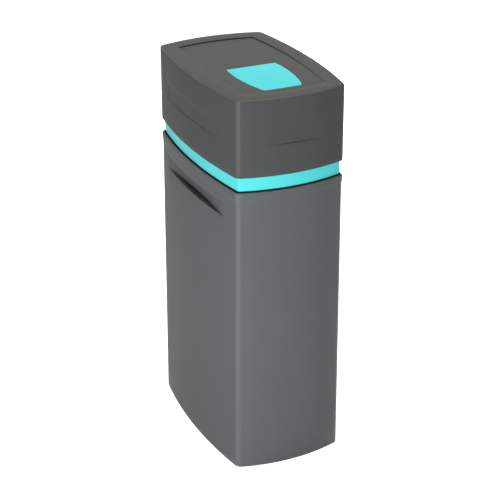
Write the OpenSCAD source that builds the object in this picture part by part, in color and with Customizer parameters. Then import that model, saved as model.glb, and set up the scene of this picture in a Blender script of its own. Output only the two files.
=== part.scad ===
// Cabinet water softener: salt tank, collar, lift-off hood with a hinged display flap,
// resin vessel with its control valve, bypass and brine system. Millimetres, front towards -Y.

/* [Cabinet outline] */
// Width of the hood at the middle of its bowed sides
cab_w = 360; // [345:1:400]
// Depth of the hood at the middle of its bowed front and back
cab_d = 570; // [550:1:620]
// Sagitta of the bowed front and back
bow_front = 26; // [20:1:32]
// Sagitta of the bowed sides
bow_side = 23; // [18:1:28]
// Radius of the four upright corners
corner_r = 17; // [16:0.5:24]

/* [Salt tank] */
// Height of the tank's rim above the floor
tank_h = 845; // [800:1:900]
// Wall of the blow-moulded tank
tank_wall = 4; // [3:0.5:5]
// Thickness of the tank's floor
floor_t = 5; // [4:0.5:8]
// How far the foot stands outside the hood's outline
foot_out = 3.5; // [2:0.5:5]
// How far the wall under the rim lies inside the hood's outline
waist_in = 1.3; // [0:0.1:2]
// How far the rim stands outside the hood's outline
rim_out = 0.7; // [0:0.1:1.5]
// Height of the band in which the wall flares out to the rim
rim_band = 33; // [24:1:45]
// Width of the rim's flat top
rim_w = 6; // [5:0.5:7]
// Rounding of the rim's outer edge
rim_r = 4; // [2:0.5:5]
// Depth of the ledge behind the rim that carries the collar
ledge_drop = 9; // [6:1:12]

/* [Side grips] */
// Length of the hand grip in each side of the tank
grip_l = 392; // [340:1:420]
// Height of the grip's mouth
grip_h = 42; // [36:1:50]
// Height of the wall between the grip and the rim
grip_below_rim = 48; // [45:1:60]
// Depth of the grip at its middle
grip_depth = 20; // [15:0.5:24]

/* [Collar] */
// Height of collar that shows between tank and hood
collar_h = 42; // [36:1:50]
// How far the collar's face lies inside the hood's outline
collar_inset = 8; // [7.5:0.25:9]
// Wall of the collar
collar_wall = 3.5; // [3:0.25:4]
// How far the collar reaches up inside the hood
collar_lap = 10; // [8:1:14]

/* [Hood] */
// Height of the hood
hood_h = 213; // [200:1:250]
// Wall of the hood
hood_wall = 4; // [3:0.25:4.5]
// Rounding of the hood's top edge
hood_edge_r = 4; // [2:0.5:5]
// Width of the border round the sunk top panel
panel_margin = 48; // [42:1:56]
// Depth of the top panel's step at the back
panel_drop = 4; // [3:0.5:7]
// Depth of the top panel's step at the front
panel_front_drop = 1.6; // [0.8:0.2:2.4]
// Length of the shallow panel in each side of the hood
side_panel_l = 360; // [300:1:380]
// Height of the shallow panels in the hood's sides and front
side_panel_h = 42; // [32:1:50]
// Height of the side panels' lower edge above the hood's lower edge
side_panel_z = 85; // [80:1:100]
// Depth of the side panels at their middle
side_panel_d = 1.2; // [0.8:0.1:3]
// Width of the shallow panel in the hood's front
front_panel_w = 150; // [130:1:170]
// Depth of the front panel at its middle
front_panel_d = 2.5; // [1:0.1:4]
// Half width of the notch for pipes in the hood's back
notch_half_w = 112; // [108:1:120]
// Height of the notch for pipes
notch_h = 78; // [74:1:90]

/* [Display flap] */
// Distance of the flap's hinged edge in front of the hood's middle
flap_back = 9; // [5:1:20]
// Length of the flap from its hinged edge to its front edge
flap_l = 202; // [185:1:208]
// Half width of the flap where it is widest
flap_half_w = 77; // [72:0.5:80]
// Radius of the flap's bowed sides
flap_side_r = 470; // [430:1:600]
// Distance of the widest place in front of the hinged edge
flap_wide = 60; // [50:1:70]
// Radius of the flap's two front corners
flap_corner_r = 7; // [4:0.5:9]
// Thickness of the flap
flap_t = 3; // [2.5:0.5:4]
// Gap round the flap
flap_gap = 0.6; // [0.5:0.1:1]
// Radius of the flap's hinge pin
flap_pin_r = 1.25; // [1:0.05:1.5]

/* [Control unit] */
// Depth of the control unit's face under the top panel
face_drop = 13; // [12:0.5:16]
// Depth of the control unit's housing
unit_h = 30; // [24:1:36]
// Radius of the push buttons
button_r = 9; // [7:0.5:10]
// Distance between neighbouring push buttons
button_pitch = 27; // [24:1:30]
// Travel of the push buttons
button_travel = 1.5; // [1:0.1:2]
// Width of the display window
lens_w = 96; // [80:1:104]
// Depth of the display window, front to back
lens_l = 56; // [48:1:60]

/* [Resin vessel] */
// Outer radius of the resin vessel
vessel_r = 128.5; // [110:0.5:132]
// Wall of the resin vessel
vessel_wall = 3.5; // [3:0.5:5]
// Distance of the vessel's axis in front of the cabinet's back
vessel_from_back = 177; // [173:1:185]
// Height of the vessel's boot
boot_h = 105; // [90:1:130]
// Radius of the vessel's neck
neck_r = 42; // [38:0.5:44]
// Height of the vessel's neck
neck_h = 22; // [20:1:26]
// Depth of the neck's rim below the collar's upper edge
neck_drop = 29; // [22:1:36]
// Radius of the riser tube
riser_r = 13.4; // [12:0.1:15]
// Height of the resin bed above the boot
resin_h = 420; // [300:1:480]

/* [Control valve] */
// Radius of the valve's barrel
barrel_r = 34; // [32:0.5:36]
// Radius of the bore in which the piston runs
piston_bore_r = 20; // [18:0.5:22]
// Height of the valve's ports above the vessel's neck
port_rise = 57; // [56:1:62]
// Distance between inlet and outlet
port_pitch = 82; // [78:1:86]
// Outer radius of the valve's port stubs
stub_r = 20; // [18:0.5:22]
// Radius of the water passages
passage_r = 12; // [10:0.5:13]
// Travel of the piston
piston_travel = 40; // [30:1:42]

/* [Bypass] */
// Radius over the thread of the inlet and outlet, one inch pipe thread
thread_r = 16.62; // [13:0.01:18]
// Length of the threaded ends
thread_l = 22; // [18:1:24]
// Radius of the bypass plugs
plug_r = 15; // [14:0.5:16]

/* [Drive] */
// Module of the drive gears
gear_m = 1.25; // [1.1:0.05:1.3]
// Teeth of the drive gear on the piston screw
drive_teeth = 36; // [36:4:40]
// Teeth of the reduction gear
idler_teeth = 24; // [20:4:24]
// Teeth of the motor pinion
pinion_teeth = 12; // [12:4:16]
// Thickness of the gears
gear_t = 8; // [6:0.5:10]

/* [Brine system] */
// Radius of the brine well
well_r = 50; // [44:0.5:54]
// Wall of the brine well
well_wall = 2.5; // [2:0.25:3]
// Distance of the brine well's axis inside the cabinet's right side
well_from_side = 88; // [86:1:96]
// Distance of the brine well's axis behind the cabinet's front
well_from_front = 95; // [89:1:100]
// Height of the brine well's rim below the tank's rim
well_drop = 25; // [15:1:40]
// Radius of the float
float_r = 17; // [14:0.5:18]
// Travel of the float
float_travel = 30; // [20:1:40]
// Height of the salt grid above the tank's floor
grid_z = 60; // [50:1:80]
// Height of the overflow fitting above the floor
overflow_z = 690; // [640:1:700]

/* [Hidden] */

// Fineness of the small round shapes and of the wide bows
$fn = 64;
bow_fn = 256;
// Overlap of cutters beyond the faces that they cut
eps = 1;
// How far the corner fillets stand proud, so that they cross the bows in a clean edge
fillet_bulge = 0.12;
// Clearance of a part beside another, of a running fit, and of a push fit's wall
gap = 0.4;
run_gap = 0.05;

tank_color = [0.39, 0.40, 0.41];
hood_color = [0.33, 0.34, 0.35];
accent_color = [0.36, 0.86, 0.87];
vessel_color = [0.20, 0.32, 0.50];
black = [0.13, 0.13, 0.14];
ivory = [0.86, 0.86, 0.83];
steel = [0.72, 0.73, 0.75];
blue = [0.20, 0.42, 0.66];
red = [0.72, 0.20, 0.17];

// Nominal outline: two pairs of bows with corner fillets, centres fixed for every offset
half_w = cab_w / 2;
half_d = cab_d / 2;
chord_x = half_w - bow_side;
chord_y = half_d - bow_front;
front_r = (chord_x * chord_x + bow_front * bow_front) / (2 * bow_front);
side_r = (chord_y * chord_y + bow_side * bow_side) / (2 * bow_side);
front_c = [0, half_d - front_r];
side_c = [half_w - side_r, 0];

// Crossing, in the first quadrant, of two circles about a and b
function crossing(a, ra, b, rb) =
  let (l = norm(b - a), u = (b - a) / l, s = (ra * ra - rb * rb + l * l) / (2 * l),
       h = sqrt(ra * ra - s * s), p = a + s * u + h * [-u[1], u[0]],
       q = a + s * u - h * [-u[1], u[0]])
  p[0] + p[1] > q[0] + q[1] ? p : q;

fillet_c = crossing(front_c, front_r - corner_r, side_c, side_r - corner_r);
front_u = (fillet_c - front_c) / norm(fillet_c - front_c);
side_u = (fillet_c - side_c) / norm(fillet_c - side_c);

// Sideways position of the outline's flank and rear face at a place on them
function side_x(y, out) = side_c[0] + sqrt(pow(side_r + out, 2) - y * y);
function back_y(x, out) = front_c[1] + sqrt(pow(front_r + out, 2) - x * x);

// Places of the upright axes, from the cabinet's sides
vessel_y = half_d - vessel_from_back;
well_x = half_w - well_from_side;
well_y = half_d - well_from_front;

// Heights that stack up from the floor
ledge_z = tank_h - ledge_drop;
hood_z = tank_h + collar_h;
collar_top = hood_z + collar_lap;
top_z = hood_z + hood_h;
neck_z = collar_top - neck_drop;
port_z = neck_z + port_rise;
grip_z = tank_h - grip_below_rim - grip_h;

// Sunk top panel: its surface falls from the front to the back
panel_front = -(half_d - panel_margin - bow_front / 2);
panel_back = half_d - panel_margin;
panel_slope = atan((panel_drop - panel_front_drop) / (panel_back - panel_front));

module mirror_four() {
  for (mx = [0, 1], my = [0, 1])
    mirror([mx, 0, 0]) mirror([0, my, 0]) children();
}

// Outline with sharp corners, moved outwards by out
module sharp_outline(out) {
  intersection() {
    translate(front_c) circle(r = front_r + out, $fn = bow_fn);
    translate(-front_c) circle(r = front_r + out, $fn = bow_fn);
    translate(side_c) circle(r = side_r + out, $fn = bow_fn);
    translate(-side_c) circle(r = side_r + out, $fn = bow_fn);
  }
}

// Sector of a corner between the ends of its fillet
module corner_sector() {
  reach = 5 * corner_r;
  polygon([fillet_c, fillet_c + reach * side_u, fillet_c + reach * [2, 2],
           fillet_c + reach * front_u]);
}

// Outline with filleted corners, moved outwards by out
module outline(out) {
  difference() {
    sharp_outline(out);
    mirror_four()
      difference() {
        corner_sector();
        translate(fillet_c) circle(r = corner_r + fillet_bulge + out);
      }
  }
}

// Upright section turned about the centre of one bow. A section is a list of points
// [distance outside the nominal outline, height] from the bottom to the top.
module turned(c, r, section) {
  n = len(section) - 1;
  translate(c) rotate_extrude($fn = bow_fn)
    polygon(concat([[0, section[0][1]]], [for (p = section) [r + p[0], p[1]]],
                   [[0, section[n][1]]]));
}

// Solid whose wall follows the section all round the bowed outline
module bowed_solid(section) {
  z0 = section[0][1];
  z1 = section[len(section) - 1][1];
  difference() {
    intersection() {
      turned(front_c, front_r, section);
      turned(-front_c, front_r, section);
      turned(side_c, side_r, section);
      turned(-side_c, side_r, section);
    }
    mirror_four()
      difference() {
        translate([0, 0, z0 - eps]) linear_extrude(z1 - z0 + 2 * eps) corner_sector();
        turned(fillet_c, corner_r + fillet_bulge, section);
      }
  }
}

// Quarter round of radius r that ends a section at its upper outer corner p
function top_round(p, r) =
  [for (i = [0 : 4]) let (a = i * 22.5) p + r * [cos(a) - 1, sin(a) - 1]];

module bar_x(r, x0, x1, y, z) {
  translate([x0, y, z]) rotate([0, 90, 0]) cylinder(r = r, h = x1 - x0);
}

module bar_y(r, y0, y1, x, z) {
  translate([x, y1, z]) rotate([90, 0, 0]) cylinder(r = r, h = y1 - y0);
}

module bar_z(r, z0, z1, x, y) {
  translate([x, y, z0]) cylinder(r = r, h = z1 - z0);
}

// Salt tank

waist_z = tank_h - rim_band;
flare_z = tank_h - rim_band / 3;
lip_in = collar_inset + collar_wall + 1;
lip_t = 3;

module tank_outside() {
  bowed_solid(concat([[foot_out, 0], [-waist_in, waist_z], [rim_out, flare_z]],
                     top_round([rim_out, tank_h], rim_r)));
}

module tank_inside() {
  wall_in = waist_in + tank_wall;
  bowed_solid([[foot_out - tank_wall, floor_t],
               [-wall_in, ledge_z - lip_t - (lip_in - wall_in)], [-lip_in, ledge_z - lip_t],
               [-lip_in, ledge_z], [rim_out - rim_w, ledge_z],
               [rim_out - rim_w, tank_h + eps]]);
}

// Disc whose rim is the hollow back of a grip, on the left side of the tank
grip_half = grip_l / 2;
grip_end_x = side_x(grip_half, -waist_in) + 0.5;
grip_mid_x = half_w - waist_in - grip_depth;
grip_sag = grip_end_x - grip_mid_x;
grip_r = (grip_half * grip_half + grip_sag * grip_sag) / (2 * grip_sag);

module grip_disc(extra, z0, z1) {
  translate([-grip_mid_x - grip_r, 0, z0])
    cylinder(r = grip_r + extra, h = z1 - z0, $fn = bow_fn);
}

module cabinet_body() {
  color(tank_color)
  difference() {
    union() {
      difference() {
        tank_outside();
        tank_inside();
      }
      for (m = [0, 1])
        mirror([m, 0, 0])
          intersection() {
            translate([0, 0, grip_z - tank_wall]) linear_extrude(grip_h + 2 * tank_wall)
              outline(-waist_in - tank_wall / 2);
            grip_disc(tank_wall, grip_z - tank_wall, grip_z + grip_h + tank_wall);
          }
      bar_y(overflow_boss_r, overflow_seat - overflow_boss_t, overflow_seat,
            overflow_x, overflow_z);
    }
    for (m = [0, 1])
      mirror([m, 0, 0]) grip_disc(0, grip_z, grip_z + grip_h);
    bar_y(overflow_hole_r, overflow_seat - 2 * overflow_boss_t, overflow_seat + eps,
          overflow_x, overflow_z);
  }
}

collar_edge_r = 1.5;
flange_w = 2;

module collar_ring() {
  back = -collar_inset - collar_wall;
  flange_z = collar_top - collar_wall;
  color(accent_color)
  difference() {
    bowed_solid(concat([[-collar_inset, ledge_z]],
                       top_round([-collar_inset, collar_top], collar_edge_r)));
    bowed_solid([[back, ledge_z - eps], [back, flange_z], [back - flange_w, flange_z],
                 [back - flange_w, collar_top + eps]]);
  }
}

// Overflow fitting in the back wall, with its nut inside
overflow_hole_r = 10;
overflow_x = chord_x - 35;
overflow_out = foot_out - (foot_out + waist_in) * overflow_z / (tank_h - rim_band);
overflow_tip = half_d + foot_out - 0.5;
overflow_flange = 3;
overflow_bore_r = 5.5;
overflow_stem_r = 8;
overflow_flange_r = 15;
overflow_seat = back_y(overflow_x - overflow_flange_r, overflow_out);
overflow_boss_r = overflow_flange_r + 2;
overflow_boss_t = 0.5 + overflow_seat
                  - back_y(overflow_x + overflow_boss_r, overflow_out - tank_wall);
overflow_nut_t = 7;

module overflow_fitting() {
  seat = overflow_seat;
  inner_end = seat - overflow_boss_t - overflow_nut_t - 4;
  color(black)
  difference() {
    union() {
      bar_y(overflow_flange_r, seat, seat + overflow_flange, overflow_x, overflow_z);
      bar_y(overflow_hole_r - gap / 2, inner_end, seat + 1, overflow_x, overflow_z);
      bar_y(overflow_stem_r, seat, overflow_tip, overflow_x, overflow_z);
    }
    bar_y(overflow_bore_r, inner_end - eps, overflow_tip + eps, overflow_x, overflow_z);
  }
}

module overflow_nut() {
  color(black)
  translate([overflow_x, overflow_seat - overflow_boss_t, overflow_z]) rotate([90, 0, 0])
    difference() {
      cylinder(r = overflow_flange_r, h = overflow_nut_t, $fn = 6);
      translate([0, 0, -eps])
        cylinder(r = overflow_hole_r - gap / 2 + run_gap, h = overflow_nut_t + 2 * eps);
    }
}

// Perforated grid on legs that keeps the salt above the brine
grid_t = 5;
grid_gap = 2.5;
leg_r = 7;
leg_x = half_w - 50;
leg_front = half_d - 45;
leg_back = vessel_r - vessel_y + 50;
hole_r = 6;
hole_pitch = 25;
hole_cols = floor((half_w - 25) / hole_pitch);
hole_y0 = -half_d + 38;
hole_rows = floor((vessel_y - vessel_r - 2 * hole_r - hole_y0) / hole_pitch);
legs = [[-leg_x + 10, -leg_front], [20, -leg_front], [-leg_x, -leg_back],
        [leg_x, -leg_back], [0, -(leg_back + leg_front) / 2]];

module salt_grid() {
  z = floor_t + grid_z;
  color(ivory)
  difference() {
    union() {
      translate([0, 0, z]) linear_extrude(grid_t)
        intersection() {
          outline(foot_out - tank_wall - grid_gap);
          translate([-half_w, -half_d]) square([cab_w, half_d + vessel_y - vessel_r]);
        }
      for (p = legs)
        bar_z(leg_r, floor_t, z + 1, p[0], p[1]);
    }
    bar_z(well_r + 1.5, 0, z + grid_t + eps, well_x, -well_y);
    bar_z(vessel_r + boot_wall + 2, 0, z + grid_t + eps, 0, vessel_y);
    for (i = [-hole_cols : hole_cols], j = [0 : hole_rows])
      let (p = [i * hole_pitch, hole_y0 + j * hole_pitch])
      if (norm(p - [well_x, -well_y]) > well_r + 2 * hole_r
          && min([for (leg = legs) norm(p - leg)]) > leg_r + hole_r + 1)
        bar_z(hole_r, z - eps, z + grid_t + eps, p[0], p[1]);
  }
}

// Resin vessel

boot_wall = 4;
boot_floor = 8;
boot_drain_r = 8;
vessel_foot = floor_t + boot_floor;
dome_h = 0.62 * vessel_r;
shoulder_z = neck_z - neck_h - dome_h;

// Points of a quarter dome from the wall to the axis, of radius r and height h
function dome(r, h, z, up) =
  [for (i = [0 : 10]) let (a = i * 8) [r * cos(a), z + up * h * sin(a)]];
function backwards(p) = [for (i = [len(p) - 1 : -1 : 0]) p[i]];

module vessel_section(inset) {
  r = vessel_r - inset;
  h = dome_h - inset;
  polygon(concat([[0, vessel_foot + inset]],
                 backwards(dome(r, h, vessel_foot + dome_h, -1)),
                 dome(r, h, shoulder_z, 1), [[0, shoulder_z + h]]));
}

neck_wall = 10;

module pressure_vessel() {
  mouth_r = neck_r - neck_wall;
  color(vessel_color)
  translate([0, vessel_y, 0])
    difference() {
      union() {
        rotate_extrude() vessel_section(0);
        cylinder_between(neck_r, shoulder_z, neck_z);
      }
      rotate_extrude() vessel_section(vessel_wall);
      cylinder_between(mouth_r, shoulder_z, neck_z + eps);
    }
}

module cylinder_between(r, z0, z1) {
  translate([0, 0, z0]) cylinder(r = r, h = z1 - z0);
}

module vessel_boot() {
  color(black)
  translate([0, vessel_y, 0])
    difference() {
      cylinder_between(vessel_r + boot_wall, floor_t, floor_t + boot_h);
      cylinder_between(vessel_r + gap / 2, vessel_foot + dome_h - 2, floor_t + boot_h + eps);
      rotate_extrude() translate([0, -gap / 2]) vessel_section(-gap / 2);
      for (i = [0 : 7])
        rotate(i * 45) translate([0.77 * vessel_r, 0, floor_t - eps])
          cylinder(r = boot_drain_r, h = 5 * boot_floor);
    }
}

// Riser with its baskets, and the resin round it
riser_wall = 2.2;
riser_foot = vessel_foot + vessel_wall + 12;
distributor_r = 24;
distributor_h = 60;

module resin_bed() {
  color([0.72, 0.45, 0.16])
  translate([0, vessel_y, 0])
    difference() {
      intersection() {
        rotate_extrude() vessel_section(vessel_wall + gap);
        cylinder_between(vessel_r, 0, boot_h + resin_h);
      }
      cylinder_between(riser_r + gap, 0, boot_h + resin_h + eps);
      cylinder_between(distributor_r + gap, 0, riser_foot + distributor_h + gap);
    }
}

socket_l = 8;

module riser_tube() {
  color(ivory)
  translate([0, vessel_y, 0])
    difference() {
      cylinder_between(riser_r, riser_foot + 10, neck_z + socket_l);
      cylinder_between(riser_r - riser_wall, riser_foot, neck_z + socket_l + eps);
    }
}

basket_slot = 2;
basket_wall = 3;

module slotted_basket(r, z0, z1) {
  difference() {
    cylinder_between(r, z0, z1);
    for (i = [1 : 5])
      translate([0, 0, z0 + (z1 - z0) * i / 6])
        difference() {
          cylinder(r = r + eps, h = basket_slot);
          translate([0, 0, -eps]) cylinder(r = r - basket_wall, h = basket_slot + 2 * eps);
        }
  }
}

module lower_distributor() {
  color(ivory)
  translate([0, vessel_y, 0])
    difference() {
      slotted_basket(distributor_r, riser_foot, riser_foot + distributor_h);
      cylinder_between(riser_r, riser_foot + 10, riser_foot + distributor_h + eps);
      cylinder_between(riser_r - basket_wall, riser_foot + 4, riser_foot + 11);
    }
}

upper_basket_h = 70;

module upper_distributor() {
  color(ivory)
  translate([0, vessel_y, 0])
    difference() {
      slotted_basket(neck_r - neck_wall - basket_wall, neck_z - upper_basket_h, neck_z);
      cylinder_between(riser_r + gap / 2, neck_z - upper_basket_h - eps, neck_z + eps);
    }
}

// Control valve. It screws over the vessel's neck; the piston barrel lies front to back.

skirt_r = neck_r + 12;
skirt_h = neck_h - 4;
skirt_cap = 12;
skirt_rib_r = 2.5;
piston_l = 36;
plug_l = 14;
head_y = vessel_y - piston_travel - plug_l - 6;
barrel_end = vessel_y + piston_l + 12;
stub_l = 62;
stub_end = vessel_y + stub_l;
port_x = port_pitch / 2;
drain_y = vessel_y - 30;
side_boss_l = 22;
side_boss_x = barrel_r + side_boss_l;
drain_boss_r = 10;
brine_boss_r = 9;
injector_r = 17;
injector_x = -12;
injector_y = vessel_y + 16;
injector_top = port_z + barrel_r + 10;
hoop_w = 4;
meter_y = vessel_y + 12;
meter_l = 12;
meter_pin_r = 1.5;
link_r = 8;
side_bore_r = 3.5;
seal_r = 1.6;
seal_ring_r = neck_r - 4;
neck_gap = 0.3;

module valve_body() {
  color(black)
  difference() {
    union() {
      bar_z(skirt_r, neck_z - skirt_h, neck_z + skirt_cap, 0, vessel_y);
      for (i = [0 : 23])
        translate([0, vessel_y, 0]) rotate(i * 15)
          bar_z(skirt_rib_r, neck_z - skirt_h, neck_z + skirt_cap - 4, skirt_r, 0);
      bar_z(neck_r - 2, neck_z + skirt_cap - eps, port_z, 0, vessel_y);
      bar_y(barrel_r, head_y, barrel_end, 0, port_z);
      bar_y(flange_r, head_y, head_y + flange_t, 0, port_z);
      for (s = [-1, 1])
        bar_y(stub_r, vessel_y, stub_end, s * port_x, port_z);
      translate([-port_x, vessel_y, port_z - stub_r + 2])
        cube([port_pitch, 40, 2 * stub_r - 4]);
      bar_x(drain_boss_r, -side_boss_x, 0, drain_y, port_z);
      bar_x(brine_boss_r, 0, side_boss_x, drain_y, port_z);
      bar_z(injector_r, port_z, injector_top, injector_x, injector_y);
      for (y = [head_y + 22, drain_y + 22, barrel_end - 2.5 * hoop_w])
        bar_y(barrel_r + 2, y, y + hoop_w, 0, port_z);
    }
    bar_z(neck_r + gap, neck_z - skirt_h - eps, neck_z + neck_gap, 0, vessel_y);
    bar_z(riser_r + 0.1, neck_z - eps, neck_z + socket_l + eps, 0, vessel_y);
    translate([0, vessel_y, neck_z]) rotate_extrude()
      translate([seal_ring_r - seal_r - 0.1, 0]) square([2 * seal_r + 0.2, 2 * seal_r + 0.1]);
    bar_y(piston_bore_r, head_y - eps, vessel_y + piston_l + 4, 0, port_z);
    bar_x(link_r, -port_x, port_x, meter_y + link_r + 4, port_z);
    for (s = [-1, 1])
      bar_y(passage_r, meter_y, stub_end + eps, s * port_x, port_z);
    bar_x(side_bore_r, -side_boss_x - eps, side_boss_x + eps, drain_y, port_z);
  }
  color(black) bar_y(meter_pin_r, meter_y - eps, meter_y + 2 * meter_l, port_x, port_z);
}

module valve_seal() {
  color(black)
  translate([0, vessel_y, neck_z + seal_r + 0.05]) rotate_extrude()
    translate([seal_ring_r, 0]) circle(r = seal_r);
}

module piston_plug() {
  color(ivory)
  difference() {
    union() {
      bar_y(piston_bore_r - run_gap, head_y, head_y + plug_l, 0, port_z);
      bar_y(plug_flange_r, head_y - plug_flange_t, head_y, 0, port_z);
    }
    bar_y(screw_r + run_gap, head_y - plug_flange_t - eps, head_y + plug_l + eps, 0, port_z);
  }
}

screw_r = 6;

module piston() {
  color(ivory)
  difference() {
    union() {
      bar_y(piston_bore_r - run_gap, vessel_y, vessel_y + piston_l, 0, port_z);
      bar_y(screw_r, gear_y - gear_t - 12, vessel_y + eps, 0, port_z);
    }
    for (i = [0 : 3])
      translate([0, vessel_y + 6 + i * 8, port_z]) rotate([90, 0, 0])
        difference() {
          cylinder(r = piston_bore_r + eps, h = 3);
          translate([0, 0, -eps]) cylinder(r = piston_bore_r - 3, h = 3 + 2 * eps);
        }
  }
}

// Piston drive: motor pinion, reduction gear and drive gear in one upright line

bracket_t = 6;
bracket_y = head_y - bracket_t;
gear_y = bracket_y - 2;
plug_flange_r = piston_bore_r + 3;
plug_flange_t = 2;
flange_r = barrel_r + 6;
flange_t = 8;
idler_z = port_z + gear_m * (drive_teeth + idler_teeth) / 2;
pinion_z = idler_z + gear_m * (idler_teeth + pinion_teeth) / 2;
hub_r = 11;
idler_pin_r = 3;
shaft_r = 1.6;
motor_r = 17;
pressure_a = 20;
backlash = 0.14;

function involute(a) = tan(a) * 180 / PI - a;

// Half angle of a tooth at radius r, for n teeth
function flank(n, r) =
  let (rp = gear_m * n / 2, rb = rp * cos(pressure_a))
  90 / n - backlash / rp * 180 / PI + involute(pressure_a)
  - (r > rb ? involute(acos(rb / r)) : 0);

// One tooth's outline about the direction a, from one root to the other
function tooth(n, a) =
  let (rp = gear_m * n / 2, r0 = rp - 1.15 * gear_m, r1 = rp + 0.8 * gear_m,
       rs = [for (i = [0 : 4]) r0 + (r1 - r0) * i / 4])
  concat([for (r = rs) r * [cos(a - flank(n, r)), sin(a - flank(n, r))]],
         [for (r = backwards(rs)) r * [cos(a + flank(n, r)), sin(a + flank(n, r))]]);

module gear(n, first) {
  polygon([for (i = [0 : n - 1]) each tooth(n, first + i * 360 / n)]);
}

// A gear standing in the drive plane, its axis at height z
module gear_at(n, first, z) {
  translate([0, gear_y, z]) rotate([90, 0, 0]) linear_extrude(gear_t) gear(n, first);
}

module drive_gear() {
  color(ivory)
  difference() {
    union() {
      gear_at(drive_teeth, 90, port_z);
      bar_y(hub_r, gear_y - gear_t - 4, head_y - plug_flange_t - 0.5, 0, port_z);
    }
    bar_y(screw_r + run_gap, gear_y - gear_t - 5, gear_y + bracket_t + 3, 0, port_z);
    for (a = [0 : 60 : 300])
      translate([0, gear_y + eps, port_z]) rotate([90, 0, 0]) rotate(a)
        translate([(hub_r + gear_m * drive_teeth / 2) / 2, 0, 0])
          cylinder(r = 2.6, h = gear_t + 2 * eps);
  }
}

module idler_gear() {
  color(ivory)
  difference() {
    union() {
      gear_at(idler_teeth, 90 + 180 / idler_teeth, idler_z);
      bar_y(6, gear_y - gear_t - 1, gear_y + 1.5, 0, idler_z);
    }
    bar_y(idler_pin_r + run_gap, gear_y - gear_t - 2, gear_y + 3, 0, idler_z);
  }
}

module motor_pinion() {
  color(ivory) gear_at(pinion_teeth, 90, pinion_z);
  color(steel) bar_y(shaft_r, gear_y - gear_t - 1, bracket_y + bracket_t + 12, 0, pinion_z);
}

module drive_motor() {
  y0 = bracket_y + bracket_t;
  color(steel)
  difference() {
    union() {
      bar_y(motor_r, y0, y0 + 34, 0, pinion_z);
      bar_y(motor_r - 9, y0 + 33, y0 + 38, 0, pinion_z);
      for (s = [-1, 1])
        bar_y(4, y0, y0 + 3, s * (motor_r + 3), pinion_z);
    }
    bar_y(shaft_r + run_gap, y0 - eps, y0 + 13, 0, pinion_z);
  }
}

module drive_bracket() {
  w = flange_r;
  color(black)
  difference() {
    union() {
      bar_y(w, bracket_y, bracket_y + bracket_t, 0, port_z);
      translate([-w + 14, bracket_y, port_z])
        cube([2 * w - 28, bracket_t, pinion_z - port_z + motor_r]);
      for (s = [-1, 1])
        bar_y(4.5, bracket_y, bracket_y + bracket_t, s * (motor_r + 3), pinion_z);
      bar_y(idler_pin_r, gear_y - gear_t - 2, bracket_y + 1, 0, idler_z);
      bar_y(idler_pin_r + 1.5, gear_y - gear_t - 3, gear_y - gear_t - 1.5, 0, idler_z);
      difference() {
        bar_y(w, bracket_y - gear_t - 8, bracket_y + 1, 0, port_z);
        bar_y(w - 3, bracket_y - gear_t - 9, bracket_y + 2, 0, port_z);
        translate([-w - eps, bracket_y - gear_t - 10, port_z - 14])
          cube([2 * w + 2 * eps, gear_t + 14, 2 * w]);
      }
    }
    bar_y(hub_r + run_gap, bracket_y - eps, bracket_y + bracket_t + eps, 0, port_z);
    bar_y(shaft_r + 1.4, bracket_y - eps, bracket_y + bracket_t + eps, 0, pinion_z);
    bar_y(plug_flange_r + gap, head_y - plug_flange_t - 0.2, head_y + eps, 0, port_z);
  }
}

module bracket_screws() {
  y0 = bracket_y - 2.5;
  color(steel)
  for (a = [35, 145, 215, 325])
    translate([0, y0, port_z]) rotate([-90, 0, 0]) rotate(a) translate([barrel_r - 1, 0, 0])
      difference() {
        cylinder(r = 3.6, h = 2.5);
        translate([-0.5, -4, -eps]) cube([1, 8, 1 + eps]);
      }
}

module injector_cap() {
  t = 5;
  knob_r = 8;
  color(black)
  translate([injector_x, injector_y, injector_top])
    difference() {
      union() {
        cylinder(r = injector_r, h = t);
        for (i = [0 : 5])
          rotate(i * 60) translate([injector_r - 2.5, 0, 0]) cylinder(r = 5, h = t);
        cylinder(r = knob_r, h = t + 3);
      }
      translate([-knob_r - eps, -1, t + 1]) cube([2 * knob_r + 2 * eps, 2, 3]);
    }
}

// Elbow whose stem points along dir (+1 back, -1 front), screwed on a side boss
module side_elbow(side, dir, nut_r, stem_r, stem_l, hole_r) {
  bend = stem_r + 4;
  x0 = side_boss_x;
  mirror([side < 0 ? 1 : 0, 0, 0])
    difference() {
      union() {
        bar_x(nut_r, x0, x0 + 9, drain_y, port_z);
        bar_x(stem_r, x0 + 8, x0 + 12, drain_y, port_z);
        translate([x0 + 12, drain_y + dir * bend, port_z])
          mirror([0, dir < 0 ? 1 : 0, 0]) rotate(-90)
            rotate_extrude(angle = 90) translate([bend, 0]) circle(r = stem_r);
        bar_y(stem_r, dir < 0 ? drain_y - bend - stem_l : drain_y + bend,
              dir < 0 ? drain_y - bend : drain_y + bend + stem_l, x0 + 12 + bend, port_z);
      }
      bar_x(hole_r, x0 - eps, x0 + 12, drain_y, port_z);
      bar_y(hole_r, dir < 0 ? drain_y - bend - stem_l - eps : drain_y + bend,
            dir < 0 ? drain_y - bend : drain_y + bend + stem_l + eps,
            x0 + 12 + bend, port_z);
    }
}

drain_stem_r = 6.5;
drain_stem_l = 26;
brine_stem_r = 6.5;
brine_stem_l = 14;

module drain_elbow() {
  color(black) side_elbow(-1, 1, 14, drain_stem_r, drain_stem_l, 4);
}

module brine_elbow() {
  color(black) side_elbow(1, -1, 13, brine_stem_r, brine_stem_l, line_bore_r);
}

line_r = 4.75;
line_bore_r = 3;

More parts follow.
